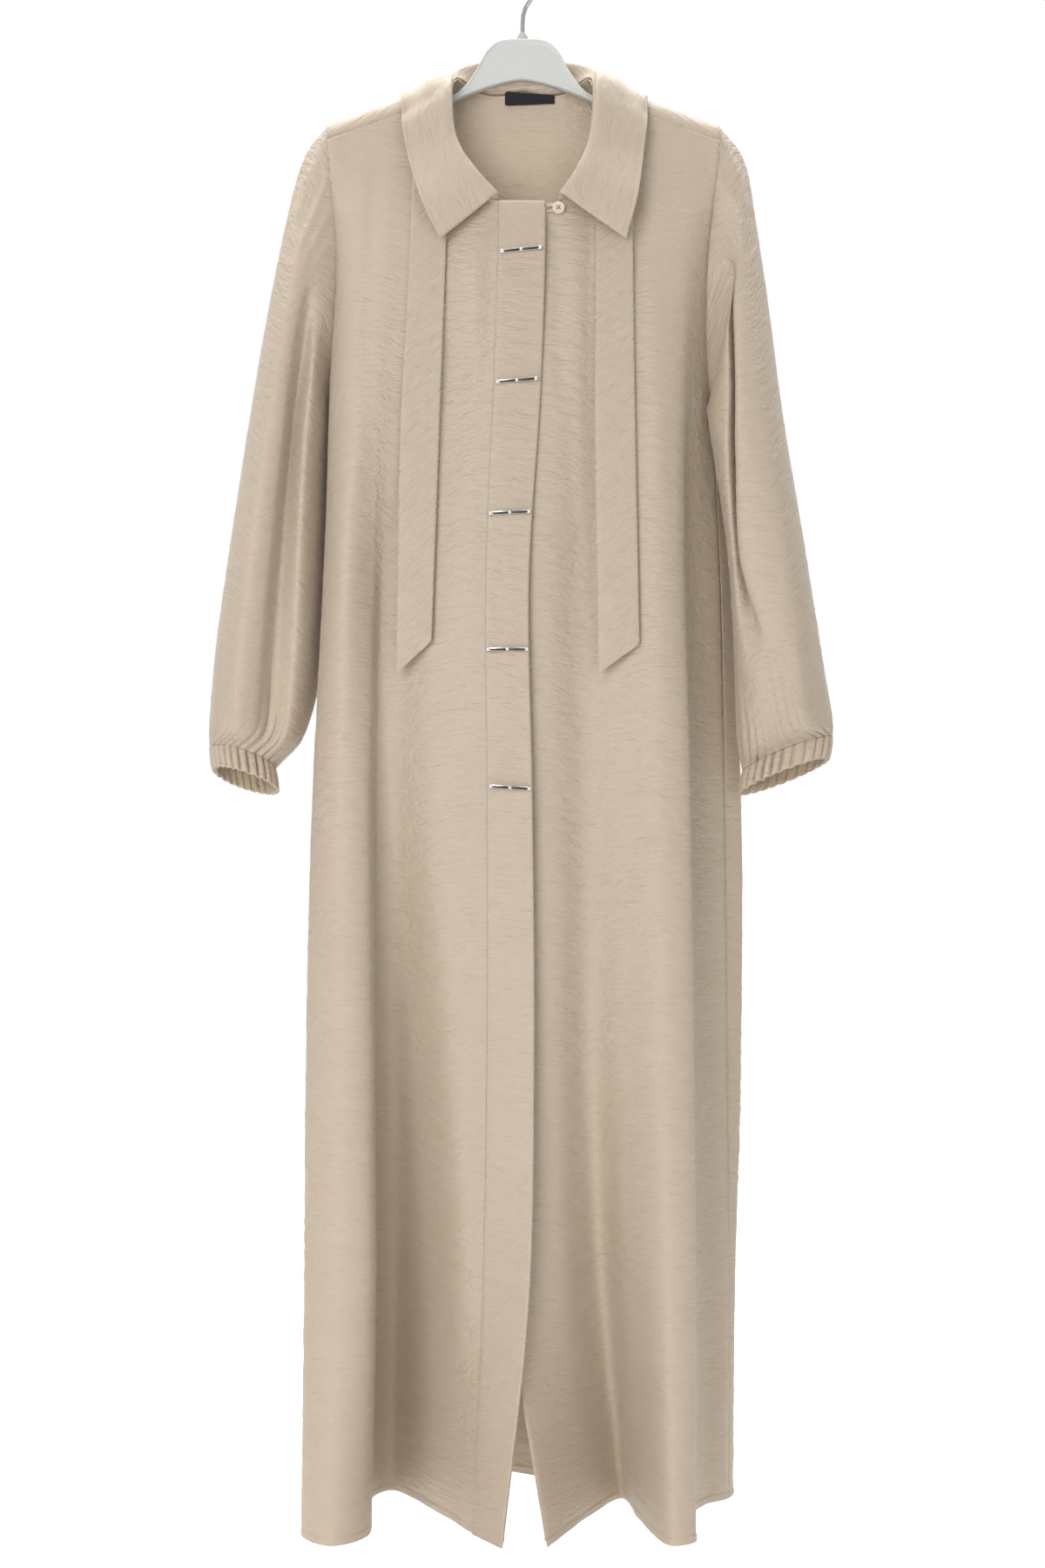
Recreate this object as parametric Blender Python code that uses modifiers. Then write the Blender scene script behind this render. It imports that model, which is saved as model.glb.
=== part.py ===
"""A long shirt abaya hanging on a plain hanger, as separate cloth walls and hard pieces.

Lengths below are millimetres unless a name says otherwise, and MM turns them into metres.
x is to the wearer's left, y is to the back, and a drop is a distance below the hook's seat.
The wearer's right front, with its placket, lies over the left front.
"""

import math

import bmesh
import bpy
import numpy as np

MM = 0.001

# Cloth
WALL = 1.2
SEAM_GAP = 0.3
SIDE_SEAM_PULL = 0.8
LAYER = WALL + SEAM_GAP
HEM_DROP = 1497
UNDERARM_DROP = 420

# Shoulders and neck
NECK_HALF = 67
NECK_POINT_DROP = 119
SHOULDER_FALL = 0.362
SHOULDER_ARCH = 17
ARCH_FRONT_Y = -15
ARCH_LENGTH = 48
FRONT_NECK_DROP = 245
BACK_NECK_DIP = 12

# Places round the body, counted in columns of the tables below
RIGHT_SEAM = 8
LEFT_SEAM = 16
LAST_PLACE = 24
FRONT_TIP = 7
PLACKET_PLACES = 1.0
NECK_LEVEL = 160

# Each row is a level section: its drop, then (x, y) at each named column.
RIGHT_FRONT_COLUMNS = (
    "free edge", "placket seam", "ridge", "valley", "valley wall", "turn", "crest", "side", "side seam",
)
RIGHT_FRONT = (
    (160, (21, -32), (-22, -32), (-52, -19), (-80, -15),
     (-110, -15), (-135, -15), (-165, -15), (-188, -15), (-190, 0)),
    (300, (21, -53), (-23, -54), (-50, -52), (-86, -46),
     (-115, -44), (-138, -43), (-160, -38), (-177, -22), (-178, 2)),
    (420, (17, -56), (-27, -57), (-58, -50), (-97, -50),
     (-122, -52), (-138, -54), (-158, -53), (-180, -30), (-176, 4)),
    (600, (6, -61), (-34, -60), (-70, -55), (-116, -38),
     (-133, -38), (-143, -48), (-166, -62), (-189, -28), (-180, 8)),
    (800, (9, -64), (-33, -60), (-84, -53), (-118, -26),
     (-136, -30), (-146, -56), (-171, -70), (-198, -32), (-186, 8)),
    (1050, (11, -67), (-33, -58), (-66, -50), (-116, 4),
     (-136, -10), (-143, -64), (-171, -82), (-203, -42), (-190, 10)),
    (1280, (6, -76), (-37, -54), (-56, -44), (-115, 38),
     (-136, 16), (-142, -74), (-172, -93), (-204, -50), (-193, 12)),
    (1497, (-18, -100), (-46, -60), (-76, -4), (-122, 82),
     (-141, 62), (-146, -62), (-176, -102), (-206, -58), (-197, 15)),
)
BACK_COLUMNS = (
    "right side", "right crest", "right dip", "middle", "left dip", "left crest", "left side",
)
BACK = (
    (160, (-188, 13), (-140, 14), (-80, 15), (0, 17), (80, 15), (140, 14), (190, 13)),
    (300, (-181, 14), (-139, 21), (-80, 21), (-2, 23), (78, 21), (138, 21), (185, 14)),
    (420, (-178, 15), (-140, 28), (-82, 27), (-6, 30), (70, 27), (132, 28), (178, 14)),
    (600, (-183, 19), (-142, 36), (-86, 32), (-10, 38), (60, 32), (124, 40), (202, 27)),
    (800, (-190, 22), (-146, 46), (-88, 37), (-14, 47), (54, 36), (124, 50), (213, 30)),
    (1050, (-195, 28), (-150, 64), (-91, 50), (-17, 66), (52, 46), (124, 68), (214, 36)),
    (1280, (-200, 40), (-154, 90), (-94, 74), (-19, 92), (54, 64), (127, 96), (209, 46)),
    (1497, (-204, 52), (-160, 122), (-97, 102), (-20, 124), (56, 88), (131, 130), (207, 66)),
)
LEFT_FRONT_COLUMNS = (
    "free edge", "inner slope", "valley", "slope", "crest", "fold edge", "behind fold", "side", "side seam",
)
LEFT_FRONT = (
    (160, (-24, -26), (28, -27), (58, -17), (95, -15),
     (130, -15), (158, -15), (176, -15), (190, -15), (192, 0)),
    (300, (-24, -46), (30, -48), (65, -46), (100, -44),
     (134, -42), (154, -36), (166, -27), (176, -16), (180, 2)),
    (420, (-28, -51), (30, -54), (62, -49), (98, -52),
     (132, -52), (151, -42), (159, -27), (167, -12), (174, 4)),
    (600, (-30, -53), (24, -55), (56, -46), (92, -52),
     (130, -59), (153, -44), (150, -12), (172, -12), (192, 2)),
    (800, (-28, -54), (28, -53), (60, -41), (95, -47),
     (132, -64), (157, -44), (150, -8), (176, -12), (197, 5)),
    (1050, (-25, -56), (30, -49), (63, -28), (97, -38),
     (135, -72), (160, -48), (153, -4), (180, -10), (200, 8)),
    (1280, (-13, -62), (36, -38), (76, 2), (106, -28),
     (136, -86), (161, -58), (154, 2), (182, -4), (202, 16)),
    (1497, (22, -98), (64, -10), (97, 44), (114, -15),
     (140, -101), (160, -72), (152, 12), (181, 6), (202, 24)),
)

# Each row is one ring of a sleeve: the drop and x of its outer and inner points, then the front's
# waves as (share of the way from outer to inner, y), the inner point's y and the back's y.
RIGHT_SLEEVE_COLUMNS = ("outer", "inner", "lobe", "edge", "groove", "ridge", "inner y", "back y")
RIGHT_SLEEVE = (
    ((-210, 194), (-183, 427), (0.26, -24), (0.44, -30), (0.58, -29), (0.76, -25), 2, 27),
    ((-226, 248), (-186, 434), (0.25, -33), (0.42, -37), (0.56, -29), (0.76, -34), 2, 34),
    ((-246, 345), (-184, 452), (0.25, -42), (0.42, -42), (0.56, -24), (0.76, -41), 13, 41),
    ((-263, 445), (-187, 502), (0.27, -48), (0.45, -44), (0.58, -19), (0.77, -43), 15, 45),
    ((-281, 562), (-190, 592), (0.27, -52), (0.45, -46), (0.60, -18), (0.79, -41), 16, 47),
    ((-295, 662), (-195, 682), (0.27, -53), (0.47, -46), (0.62, -18), (0.82, -33), 14, 46),
    ((-300, 728), (-212, 748), (0.28, -45), (0.48, -40), (0.66, -22), (0.86, -24), 6, 38),
)
LEFT_SLEEVE = (
    ((213, 196), (186, 427), (0.25, -24), (0.45, -30), (0.52, -28), (0.72, -25), 2, 27),
    ((224, 250), (186, 434), (0.28, -34), (0.52, -38), (0.56, -24), (0.76, -32), -2, 34),
    ((239, 350), (178, 448), (0.30, -43), (0.56, -46), (0.54, -18), (0.77, -38), -20, 40),
    ((251, 442), (186, 497), (0.32, -49), (0.67, -49), (0.63, -18), (0.84, -40), -22, 44),
    ((270, 556), (197, 592), (0.34, -52), (0.74, -47), (0.72, -22), (0.88, -34), -24, 46),
    ((287, 662), (203, 684), (0.30, -50), (0.50, -47), (0.64, -36), (0.85, -37), -18, 44),
    ((297, 726), (207, 750), (0.30, -42), (0.50, -40), (0.66, -34), (0.85, -28), -6, 34),
)

# A cuff is a tilted oval band: its middle, half widths, tilts and height.
RIGHT_CUFF = {"x": -267, "y": 0, "drop": 792, "across": 30, "deep": 27, "side_tilt": 0.30, "back_tilt": 0.34}
LEFT_CUFF = {"x": 252, "y": 0, "drop": 788, "across": 42, "deep": 20, "side_tilt": -0.38, "back_tilt": 0.34}
CUFF_HEIGHT = 22
CUFF_GATHERS = 16
CUFF_WAVE = 1.5
CUFF_SEAM_GAP = 1.1
SLEEVE_FOOT_WAVE = 1.2
SLEEVE_WAVE_REACH = 62
CAP_GATHERS = 9
CAP_WAVE = 1.8
CAP_SHARE = 0.2
CAP_RISE_SHARE = 0.083
CUFF_LEAN = 0.5
GATHER_UPRIGHT_SHARE = 0.3
SLEEVE_BACK_ROUND = 0.8

# Each row is a station of the collar: the share of the neck seam, then the roll's and the outer
# edge's x, y and drop.
COLLAR_COLUMNS = ("along", "roll", "edge", "steps to the next row")
COLLAR = (
    (0.00, (-23, -52, 239), (-77, -61, 284), 2),
    (0.09, (-43, -50, 217), (-93, -56, 251), 2),
    (0.19, (-64, -38, 181), (-108, -35, 201), 3),
    (0.29, (-69, -23, 126), (-115, -21, 157), 5),
    (0.34, (-67, 6, 107), (-114, 10, 138), 4),
    (0.42, (-38, 23, 92), (-84, 23, 149), 2),
    (0.50, (0, 28, 88), (0, 26, 152), 2),
    (0.58, (40, 23, 92), (86, 23, 149), 4),
    (0.66, (67, 6, 107), (116, 10, 138), 5),
    (0.72, (70, -22, 126), (117, -21, 157), 3),
    (0.81, (65, -38, 180), (114, -36, 202), 2),
    (0.91, (50, -50, 217), (107, -55, 247), 2),
    (1.00, (35, -52, 239), (97, -61, 284), 0),
)
COLLAR_CROWN = 4
COLLAR_LIFT = 5
COLLAR_FOOT_RISE = 2.7
COLLAR_SEAM_INSET = 0.12
COLLAR_CROWN_SHARE = 0.45
COLLAR_LINES = (0, 1, 2, 2.5, 3, 4)

# Each row is a level of a tie: its drop, then the x of its two edges. The last row is the slanted end.
RIGHT_TIE = ((157, -104, -69), (291, -106, -72), (460, -115, -78), (627, -118, -84))
RIGHT_TIE_END = ((692, -117), (661, -86))
LEFT_TIE = ((157, 69, 104), (274, 69, 104), (460, 68, 106), (627, 70, 109))
LEFT_TIE_END = ((692, 71), (664, 109))
TIE_LIFT_TOP = 2.8
TIE_LIFT_END = 5

PLACKET_EASE = 0.15

# Bars, button, loop and label
BAR_COLUMNS = ("drop", "tilt")
BARS = ((287, 0.10), (417, 0.08), (541, 0.05), (669, 0.0), (798, -0.06))
BAR_PROFILE_COLUMNS = ("along", "radius")
BAR_PROFILE = (
    (0, 1.9), (1.1, 1.9), (1.5, 1.35), (16.6, 1.35), (17.0, 1.9), (18.8, 1.9), (19.4, 1.3), (19.4, 0),
)
BAR_SIDES = 8
BUTTON = {"x": 34, "drop": 251, "radius": 5.8, "thick": 2.2, "rim": 0.6, "hole": 0.7, "spread": 1.5}
BUTTON_SIDES = 24
HOLE_SIDES = 8
BUTTON_SEAT_SHARE = 0.7
LOOP_WIRE = 1.3
LABEL = {"left": -14, "right": 34, "top": 124, "height": 12, "thick": 0.8, "slope": 0.05}

# Hanger
HANGER_HALF_THICK = 6
HANGER_EDGE_ROUND = 3
HANGER_CREST = ((0, 77), (22, 78.5), (33, 87), (41, 99), (48, 110), (56, 119.5))
HANGER_TIP = 178
HANGER_BAR_MIDDLE = 116
HANGER_BAR_SAG = 17.5
HANGER_BAR_END = 17
HANGER_BAR_TAPER = 4
HANGER_SEAT = 2.1
HOOK_WIRE = 4
HOOK_INNER_RADIUS = 18
HOOK_OPEN_ANGLE = -55
HOOK_TIP_ANGLE = 200
HOOK_STEM = ((0, 64), (0.6, 54), (3.2, 46), (8, 38.5))

# Mesh fineness
BAND_STEPS = 3
FRONT_SHOULDER_STEPS = 9
NECK_STEPS = 5
ARMHOLE_STEPS = 5
PANEL_ROWS = 15
ROW_CROWDING = 1.3
ARCH_ROWS = 6
AFTER_ARCH_ROWS = 2
BESIDE_ARM_ROWS = 6
SKIRT_ROWS = 9
AFTER_ARCH = 30
BACK_NECK_STEPS = 20
BACK_SHOULDER_STEPS = 4
SPREAD_ROWS = 5
SLEEVE_ROWS = 8
TIE_ROWS = 14

# Finishes: colour, roughness, metallic
SATIN = ((0.60, 0.50, 0.38, 1), 0.55, 0)
PALE_PLASTIC = ((0.62, 0.63, 0.60, 1), 0.4, 0)
SILVER = ((0.70, 0.69, 0.66, 1), 0.2, 1)
SHELL = ((0.62, 0.52, 0.38, 1), 0.25, 0)
BLACK_WEAVE = ((0.02, 0.02, 0.03, 1), 0.8, 0)


# Curves and sections


def table_curve(knots, rows, at, level_start=False):
    """Smooth values read from table rows at each place in at, straight beyond the first and last row."""
    knots = np.asarray(knots, float)
    rows = np.asarray(rows, float)
    at = np.asarray(at, float)
    step = np.diff(knots).reshape((-1,) + (1,) * (rows.ndim - 1))
    rise = np.diff(rows, axis=0) / step
    inner = (rise[:-1] * step[1:] + rise[1:] * step[:-1]) / (step[:-1] + step[1:])
    slope = np.concatenate([rise[:1] * (not level_start), inner, rise[-1:]])
    i = np.clip(np.searchsorted(knots, at) - 1, 0, len(knots) - 2)
    wide = (-1,) + (1,) * (rows.ndim - 1)
    gap = (knots[i + 1] - knots[i]).reshape(wide)
    f = np.clip((at - knots[i]) / (knots[i + 1] - knots[i]), 0, 1).reshape(wide)
    past = (at - np.clip(at, knots[0], knots[-1])).reshape(wide)
    ends = np.where(past < 0, slope[0], slope[-1])
    return hermite(rows[i], rows[i + 1], slope[i] * gap, slope[i + 1] * gap, f) + past * ends


def hermite(start, end, start_pull, end_pull, f):
    return (
        start * (1 + 2 * f) * (1 - f) ** 2
        + end * f**2 * (3 - 2 * f)
        + start_pull * f * (1 - f) ** 2
        - end_pull * f**2 * (1 - f)
    )


def through(points, place):
    """A smooth curve through each row of points, read at a place counted in points."""
    gap = np.linalg.norm(np.diff(points, axis=1), axis=2)[..., None] ** 0.5
    rise = np.diff(points, axis=1) / gap
    inner = (rise[:, :-1] * gap[:, 1:] + rise[:, 1:] * gap[:, :-1]) / (gap[:, :-1] + gap[:, 1:])
    slope = np.concatenate([rise[:, :1], inner, rise[:, -1:]], axis=1)
    i = np.clip(np.floor(place).astype(int), 0, points.shape[1] - 2)
    row = np.arange(len(points))
    f = (place - i)[:, None]
    pull = gap[row, i]
    return hermite(points[row, i], points[row, i + 1], slope[row, i] * pull, slope[row, i + 1] * pull, f)


def ring_through(points, place):
    """The same round a closed ring, where the place runs from 0 to the number of points."""
    wrapped = np.concatenate([points[:, -2:], points, points[:, :3]], axis=1)
    return through(wrapped, np.mod(place, points.shape[1]) + 2)


DROPS = [row[0] for row in BACK]
SECTIONS = [
    list(right[1:]) + list(back[1:]) + list(reversed(left[1:]))
    for right, back, left in zip(RIGHT_FRONT, BACK, LEFT_FRONT)
]


def body(place, drop):
    """The cloth's middle at a place round the body and a drop, as x, y, z, upright above the neck level."""
    place, drop = np.broadcast_arrays(np.asarray(place, float), np.asarray(drop, float))
    level = table_curve(DROPS, SECTIONS, np.maximum(drop.ravel(), NECK_LEVEL), level_start=True)
    flat = through(level, place.ravel())
    return np.column_stack([flat, -drop.ravel()])


def shoulder_top(x):
    """The drop of the shoulder's top line."""
    return NECK_POINT_DROP + SHOULDER_FALL * (np.abs(x) - NECK_HALF)


def shoulder_seam(place):
    """The drop of the forward shoulder seam, which is the foot of the arch over the hanger."""
    return shoulder_top(body(place, NECK_LEVEL)[:, 0]) + SHOULDER_ARCH


def neck_place(start, end):
    """The place between start and end where the body is NECK_HALF from the middle."""
    places = np.linspace(start, end, 200)
    x = np.abs(body(places, NECK_LEVEL)[:, 0])
    order = np.argsort(x)
    return float(np.interp(NECK_HALF, x[order], places[order]))


RIGHT_NECK = neck_place(1, 4)
LEFT_NECK = neck_place(23, 20)
BACK_RIGHT_NECK = neck_place(11.9, 10)
BACK_LEFT_NECK = neck_place(12.1, 14)


# Panel outlines


def quarter(steps):
    return np.linspace(0, math.pi / 2, steps + 1)


def front_columns(free_edge, centre, neck, tip, seam):
    """Places along a front's top from its free edge to its side seam, with the drop of the top edge."""
    band = np.linspace(free_edge, centre, BAND_STEPS + 1)[:-1]
    curve = quarter(NECK_STEPS)
    neck_places = centre + (neck - centre) * np.sin(curve)
    neck_drops = FRONT_NECK_DROP + (shoulder_seam(neck)[0] - FRONT_NECK_DROP) * (1 - np.cos(curve))
    shoulder = np.linspace(neck, tip, FRONT_SHOULDER_STEPS + 1)[1:]
    arm = quarter(ARMHOLE_STEPS)[1:]
    arm_places = tip + (seam - tip) * (1 - np.cos(arm))
    tip_drop = shoulder_seam(tip)[0]
    arm_drops = tip_drop + (UNDERARM_DROP - tip_drop) * np.sin(arm)
    band_drops = np.full(len(band), FRONT_NECK_DROP)
    places = np.concatenate([band, neck_places, shoulder, arm_places])
    drops = np.concatenate([band_drops, neck_drops, shoulder_seam(shoulder), arm_drops])
    return places, drops


def front_grid(places, tops):
    """Rows from the top edge to the hem."""
    rows = np.linspace(0, 1, PANEL_ROWS + 1)[:, None] ** ROW_CROWDING
    drop = tops[None, :] + rows * (HEM_DROP - tops[None, :])
    place = np.repeat(places[None, :], PANEL_ROWS + 1, axis=0)
    return body(place, drop).reshape(PANEL_ROWS + 1, len(places), 3)


def over_shoulder(place, reach):
    """The back panel at a reach down from the arch's foot, where a negative reach runs over the arch."""
    x, back_y, _ = body(place, shoulder_seam(place)).T
    foot = shoulder_seam(place)
    turn = np.clip(-reach / ARCH_LENGTH, 0, 1) * math.pi
    middle = (back_y + ARCH_FRONT_Y) / 2
    y = middle + (back_y - middle) * np.cos(turn)
    arch = np.column_stack([x, y, -(foot - SHOULDER_ARCH * np.sin(turn))])
    below = body(place, foot + np.maximum(reach, 0))
    return np.where((reach < 0)[:, None], arch, below)


def back_neck(sweep):
    """Places and reaches along the back's neck seam, where the sweep runs from -1 to 1."""
    middle = (BACK_RIGHT_NECK + BACK_LEFT_NECK) / 2
    half = (BACK_LEFT_NECK - BACK_RIGHT_NECK) / 2
    turn = np.asarray(sweep) * math.pi / 2
    return middle + half * np.sin(turn), BACK_NECK_DIP - (ARCH_LENGTH + BACK_NECK_DIP) * (1 - np.cos(turn))


def back_grid():
    """Rows over the shoulders and down to the hem, whose ends follow the armholes and the side seams."""
    right_tip, left_tip = RIGHT_SEAM + 1, LEFT_SEAM - 1
    neck, neck_reach = back_neck(np.linspace(-1, 1, BACK_NECK_STEPS + 1))
    right = np.linspace(right_tip, BACK_RIGHT_NECK, BACK_SHOULDER_STEPS + 1)[:-1]
    left = np.linspace(BACK_LEFT_NECK, left_tip, BACK_SHOULDER_STEPS + 1)[1:]
    tops = np.concatenate([right, neck, left])
    shoulder = np.full(BACK_SHOULDER_STEPS, -float(ARCH_LENGTH))
    starts = np.concatenate([shoulder, neck_reach, shoulder])
    top_shares = (tops - right_tip) / (left_tip - right_tip)
    even_shares = np.linspace(0, 1, len(tops))
    foot = shoulder_seam(tops)
    arch = np.linspace(-ARCH_LENGTH, 0, ARCH_ROWS + 1)
    after = np.linspace(0, AFTER_ARCH, AFTER_ARCH_ROWS + 1)[1:]
    upper = [starts + (AFTER_ARCH - starts) * (r + ARCH_LENGTH) / (AFTER_ARCH + ARCH_LENGTH)
             for r in np.concatenate([arch, after])]
    beside_arm = [AFTER_ARCH + (UNDERARM_DROP - foot - AFTER_ARCH) * math.sin(angle)
                  for angle in quarter(BESIDE_ARM_ROWS)[1:]]
    lower = [UNDERARM_DROP - foot + (HEM_DROP - UNDERARM_DROP) * fall
             for fall in np.arange(1, SKIRT_ROWS + 1) / SKIRT_ROWS]
    lower = beside_arm + lower
    spread = np.clip((np.arange(len(upper + lower)) - ARCH_ROWS) / SPREAD_ROWS, 0, 1)
    rows = []
    for reach, even in zip(upper + lower, spread):
        first = armhole_place(right_tip, RIGHT_SEAM, foot[0] + reach[0])
        last = armhole_place(left_tip, LEFT_SEAM, foot[-1] + reach[-1])
        places = first + (last - first) * (top_shares + (even_shares - top_shares) * even)
        rows.append(over_shoulder(places, foot + reach - shoulder_seam(places)))
    return np.array(rows)


def armhole_place(tip, seam, drop):
    """Where the armhole lies at a drop, from the shoulder's tip to the side seam."""
    tip_drop = shoulder_seam(tip)[0]
    rise = min(max((drop - tip_drop) / (UNDERARM_DROP - tip_drop), 0), 1)
    return tip + (seam - tip) * (1 - math.sqrt(1 - rise**2))


# Sleeves and cuffs


def armhole(side):
    """The armhole's closed loop from the shoulder's top, down the front, and up the back."""
    if side == "right":
        tip, seam, back_tip = FRONT_TIP, RIGHT_SEAM, RIGHT_SEAM + 1
    else:
        tip, seam, back_tip = LAST_PLACE - FRONT_TIP, LEFT_SEAM, LEFT_SEAM - 1
    arm = quarter(24)
    down = shoulder_seam(tip)[0]
    front = body(tip + (seam - tip) * (1 - np.cos(arm)), down + (UNDERARM_DROP - down) * np.sin(arm))
    down = shoulder_seam(back_tip)[0]
    back = body(seam + (back_tip - seam) * np.sin(arm), down + (UNDERARM_DROP - down) * np.cos(arm))
    reach = -np.linspace(0, ARCH_LENGTH, 25)
    arch = over_shoulder(np.full(25, float(back_tip)), reach)
    loop = np.concatenate([arch[12:], front[1:], back[1:], arch[1:12]])
    return loop, len(arch[12:]) + len(front) - 2


def even_loop(loop, low, shares):
    """Points on the loop at shares, where 0.5 is its low point."""
    closed = np.concatenate([loop, loop[:1]])
    length = np.concatenate([[0], np.cumsum(np.linalg.norm(np.diff(closed, axis=0), axis=1))])
    at = np.interp(shares, [0, 0.5, 1], [0, length[low], length[-1]])
    return np.column_stack([np.interp(at, length, closed[:, k]) for k in range(3)])


def sleeve_rings(table):
    """The landmarks of each ring, from the outer point round the front to the inner point and the back."""
    rings = []
    for outer, inner, lobe, edge, groove, ridge, inner_y, back_y in table:
        near_back = back_y * SLEEVE_BACK_ROUND
        front = ((0, 0), lobe, edge, groove, ridge)
        behind = ((1, inner_y), (0.76, near_back), (0.5, back_y), (0.18, near_back))
        start = np.array([outer[0], 0, -outer[1]], float)
        across = np.array([inner[0], 0, -inner[1]], float) - start
        rings.append([start + share * across + np.array([0, y, 0]) for share, y in front + behind])
    return np.array(rings)


def cuff_ring(cuff, share, angle):
    """A cuff's oval at a share of its height, 0 at its seam and 1 at its opening."""
    wave = CUFF_WAVE * np.cos(CUFF_GATHERS * angle)
    outer = -1 if cuff["x"] < 0 else 1
    dx = outer * (cuff["across"] + wave) * np.cos(angle)
    dy = -(cuff["deep"] + wave) * np.sin(angle)
    tilt = cuff["side_tilt"] * dx + cuff["back_tilt"] * dy
    lift = CUFF_HEIGHT * (1 - share)
    x = cuff["x"] + dx - lift * cuff["side_tilt"] * CUFF_LEAN
    y = cuff["y"] + dy + lift * cuff["back_tilt"] * CUFF_LEAN
    return np.column_stack([x, y, -(cuff["drop"] + tilt - lift)])


def sleeve_grid(table, side, cuff):
    """Rings from the armhole to the cuff, with the cuff's gathers fading upwards."""
    columns = 4 * CUFF_GATHERS
    shares = np.arange(columns) / columns
    angle = shares * 2 * math.pi
    loop, low = armhole(side)
    outward = np.array([-1.0 if side == "right" else 1.0, 0, 0])
    first = even_loop(loop, low, shares) + outward * (LAYER + SEAM_GAP)
    landmarks = sleeve_rings(table)
    places = np.interp(shares, [0, 0.5, 1], [0, 5, 9])
    middle = [ring_through(np.repeat(ring[None], columns, axis=0), places) for ring in landmarks]
    last = cuff_ring(cuff, 0, angle)
    last[:, 2] += CUFF_SEAM_GAP
    rings = np.array([first] + middle + [last])
    steps = np.linspace(0, len(rings) - 1, SLEEVE_ROWS + 1)
    stations = np.arange(len(rings))
    grid = np.array([table_curve(stations, rings, [s])[0] for s in steps])
    return add_gathers(grid, angle, steps / (len(rings) - 1))


def add_gathers(grid, angle, down):
    """Waves across a sleeve: the cuff's gathers at its foot and a few at the top of its cap."""
    away = grid - grid.mean(axis=1, keepdims=True)
    away[..., 2] *= GATHER_UPRIGHT_SHARE
    away /= np.linalg.norm(away, axis=2, keepdims=True)
    from_cuff = np.linalg.norm(grid - grid[-1:], axis=2)
    at_foot = np.exp(-((from_cuff / SLEEVE_WAVE_REACH) ** 2)) * (from_cuff > 1)
    down = down[:, None]
    at_cap = np.clip(1 - down / CAP_SHARE, 0, 1) * np.clip(down / CAP_RISE_SHARE, 0, 1)
    near_shoulder = np.clip(np.cos(angle), 0, 1) ** 1.5
    wave = SLEEVE_FOOT_WAVE * at_foot * np.cos(CUFF_GATHERS * angle)
    wave += CAP_WAVE * at_cap * near_shoulder * np.cos(2 * CAP_GATHERS * angle)
    return grid + away * wave[..., None]


def cuff_grid(cuff):
    angle = np.arange(4 * CUFF_GATHERS) / (4 * CUFF_GATHERS) * 2 * math.pi
    return np.array([cuff_ring(cuff, share, angle) for share in (0, 0.5, 1)])


# Collar, ties and placket


def neck_seam():
    """The neck seam from the right front's placket, round the back, to the left front, as one line."""
    curve = quarter(NECK_STEPS)
    edge = PLACKET_PLACES + COLLAR_SEAM_INSET
    right = edge + (RIGHT_NECK - edge) * np.sin(curve)
    drop = FRONT_NECK_DROP + (shoulder_seam(RIGHT_NECK)[0] - FRONT_NECK_DROP) * (1 - np.cos(curve))
    front_right = body(right, drop)
    centre = LAST_PLACE - edge
    left = centre + (LEFT_NECK - centre) * np.sin(curve)
    drop = FRONT_NECK_DROP + (shoulder_seam(LEFT_NECK)[0] - FRONT_NECK_DROP) * (1 - np.cos(curve))
    front_left = body(left, drop)[::-1]
    back = over_shoulder(*back_neck(np.linspace(-1, 1, BACK_NECK_STEPS + 1)))
    return np.concatenate([front_right, back[1:-1], front_left])


def on_line(line, shares):
    length = np.concatenate([[0], np.cumsum(np.linalg.norm(np.diff(line, axis=0), axis=1))])
    at = np.asarray(shares) * length[-1]
    return np.column_stack([np.interp(at, length, line[:, k]) for k in range(3)])


def collar_grid():
    """Lines from the neck seam up to the roll and down to the outer edge."""
    along = [row[0] for row in COLLAR]
    spans = zip(along, along[1:], [row[3] for row in COLLAR])
    shares = np.concatenate([np.linspace(start, end, steps + 1)[:-1] for start, end, steps in spans] + [[1]])
    roll = table_curve(along, [row[1] for row in COLLAR], shares) * (1, 1, -1)
    edge = table_curve(along, [row[2] for row in COLLAR], shares) * (1, 1, -1)
    seam = on_line(neck_seam(), shares)
    places = np.array(COLLAR_LINES)
    lifts = COLLAR_LIFT * np.clip((places - 2) * 2, 0, 1)
    lines = []
    for foot, top, low in zip(seam, roll, edge):
        rise = top - foot
        start = foot + rise / np.linalg.norm(rise) * COLLAR_FOOT_RISE
        crown = cleared(top + (low - top) * COLLAR_CROWN_SHARE, COLLAR_LIFT + COLLAR_CROWN)
        control = np.array([[start, (start + top) / 2, top, crown, low]])
        line = through(np.repeat(control, len(places), axis=0), places)
        lines.append([cleared(point, lift) if lift else point for point, lift in zip(line, lifts)])
    return np.array(lines)


def section_line(x):
    """The garment's section across the shoulder at x as (y, drop): up the front, over, and down the back."""
    front = (0, RIGHT_SEAM) if x < 0 else (LAST_PLACE, LEFT_SEAM)
    foot = shoulder_top(x) + SHOULDER_ARCH
    rising = [(body_y(x, drop, front), drop) for drop in np.linspace(foot + 180, foot, 19)]
    falling = [(body_y(x, drop, (RIGHT_SEAM, LEFT_SEAM)), drop) for drop in np.linspace(foot, foot + 90, 10)]
    middle = (rising[-1][0] + falling[0][0]) / 2
    half = falling[0][0] - middle
    arch = [
        (middle - half * math.cos(turn), foot - SHOULDER_ARCH * math.sin(turn))
        for turn in np.linspace(0, math.pi, 13)[1:-1]
    ]
    return np.array(rising + arch + falling)


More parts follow.
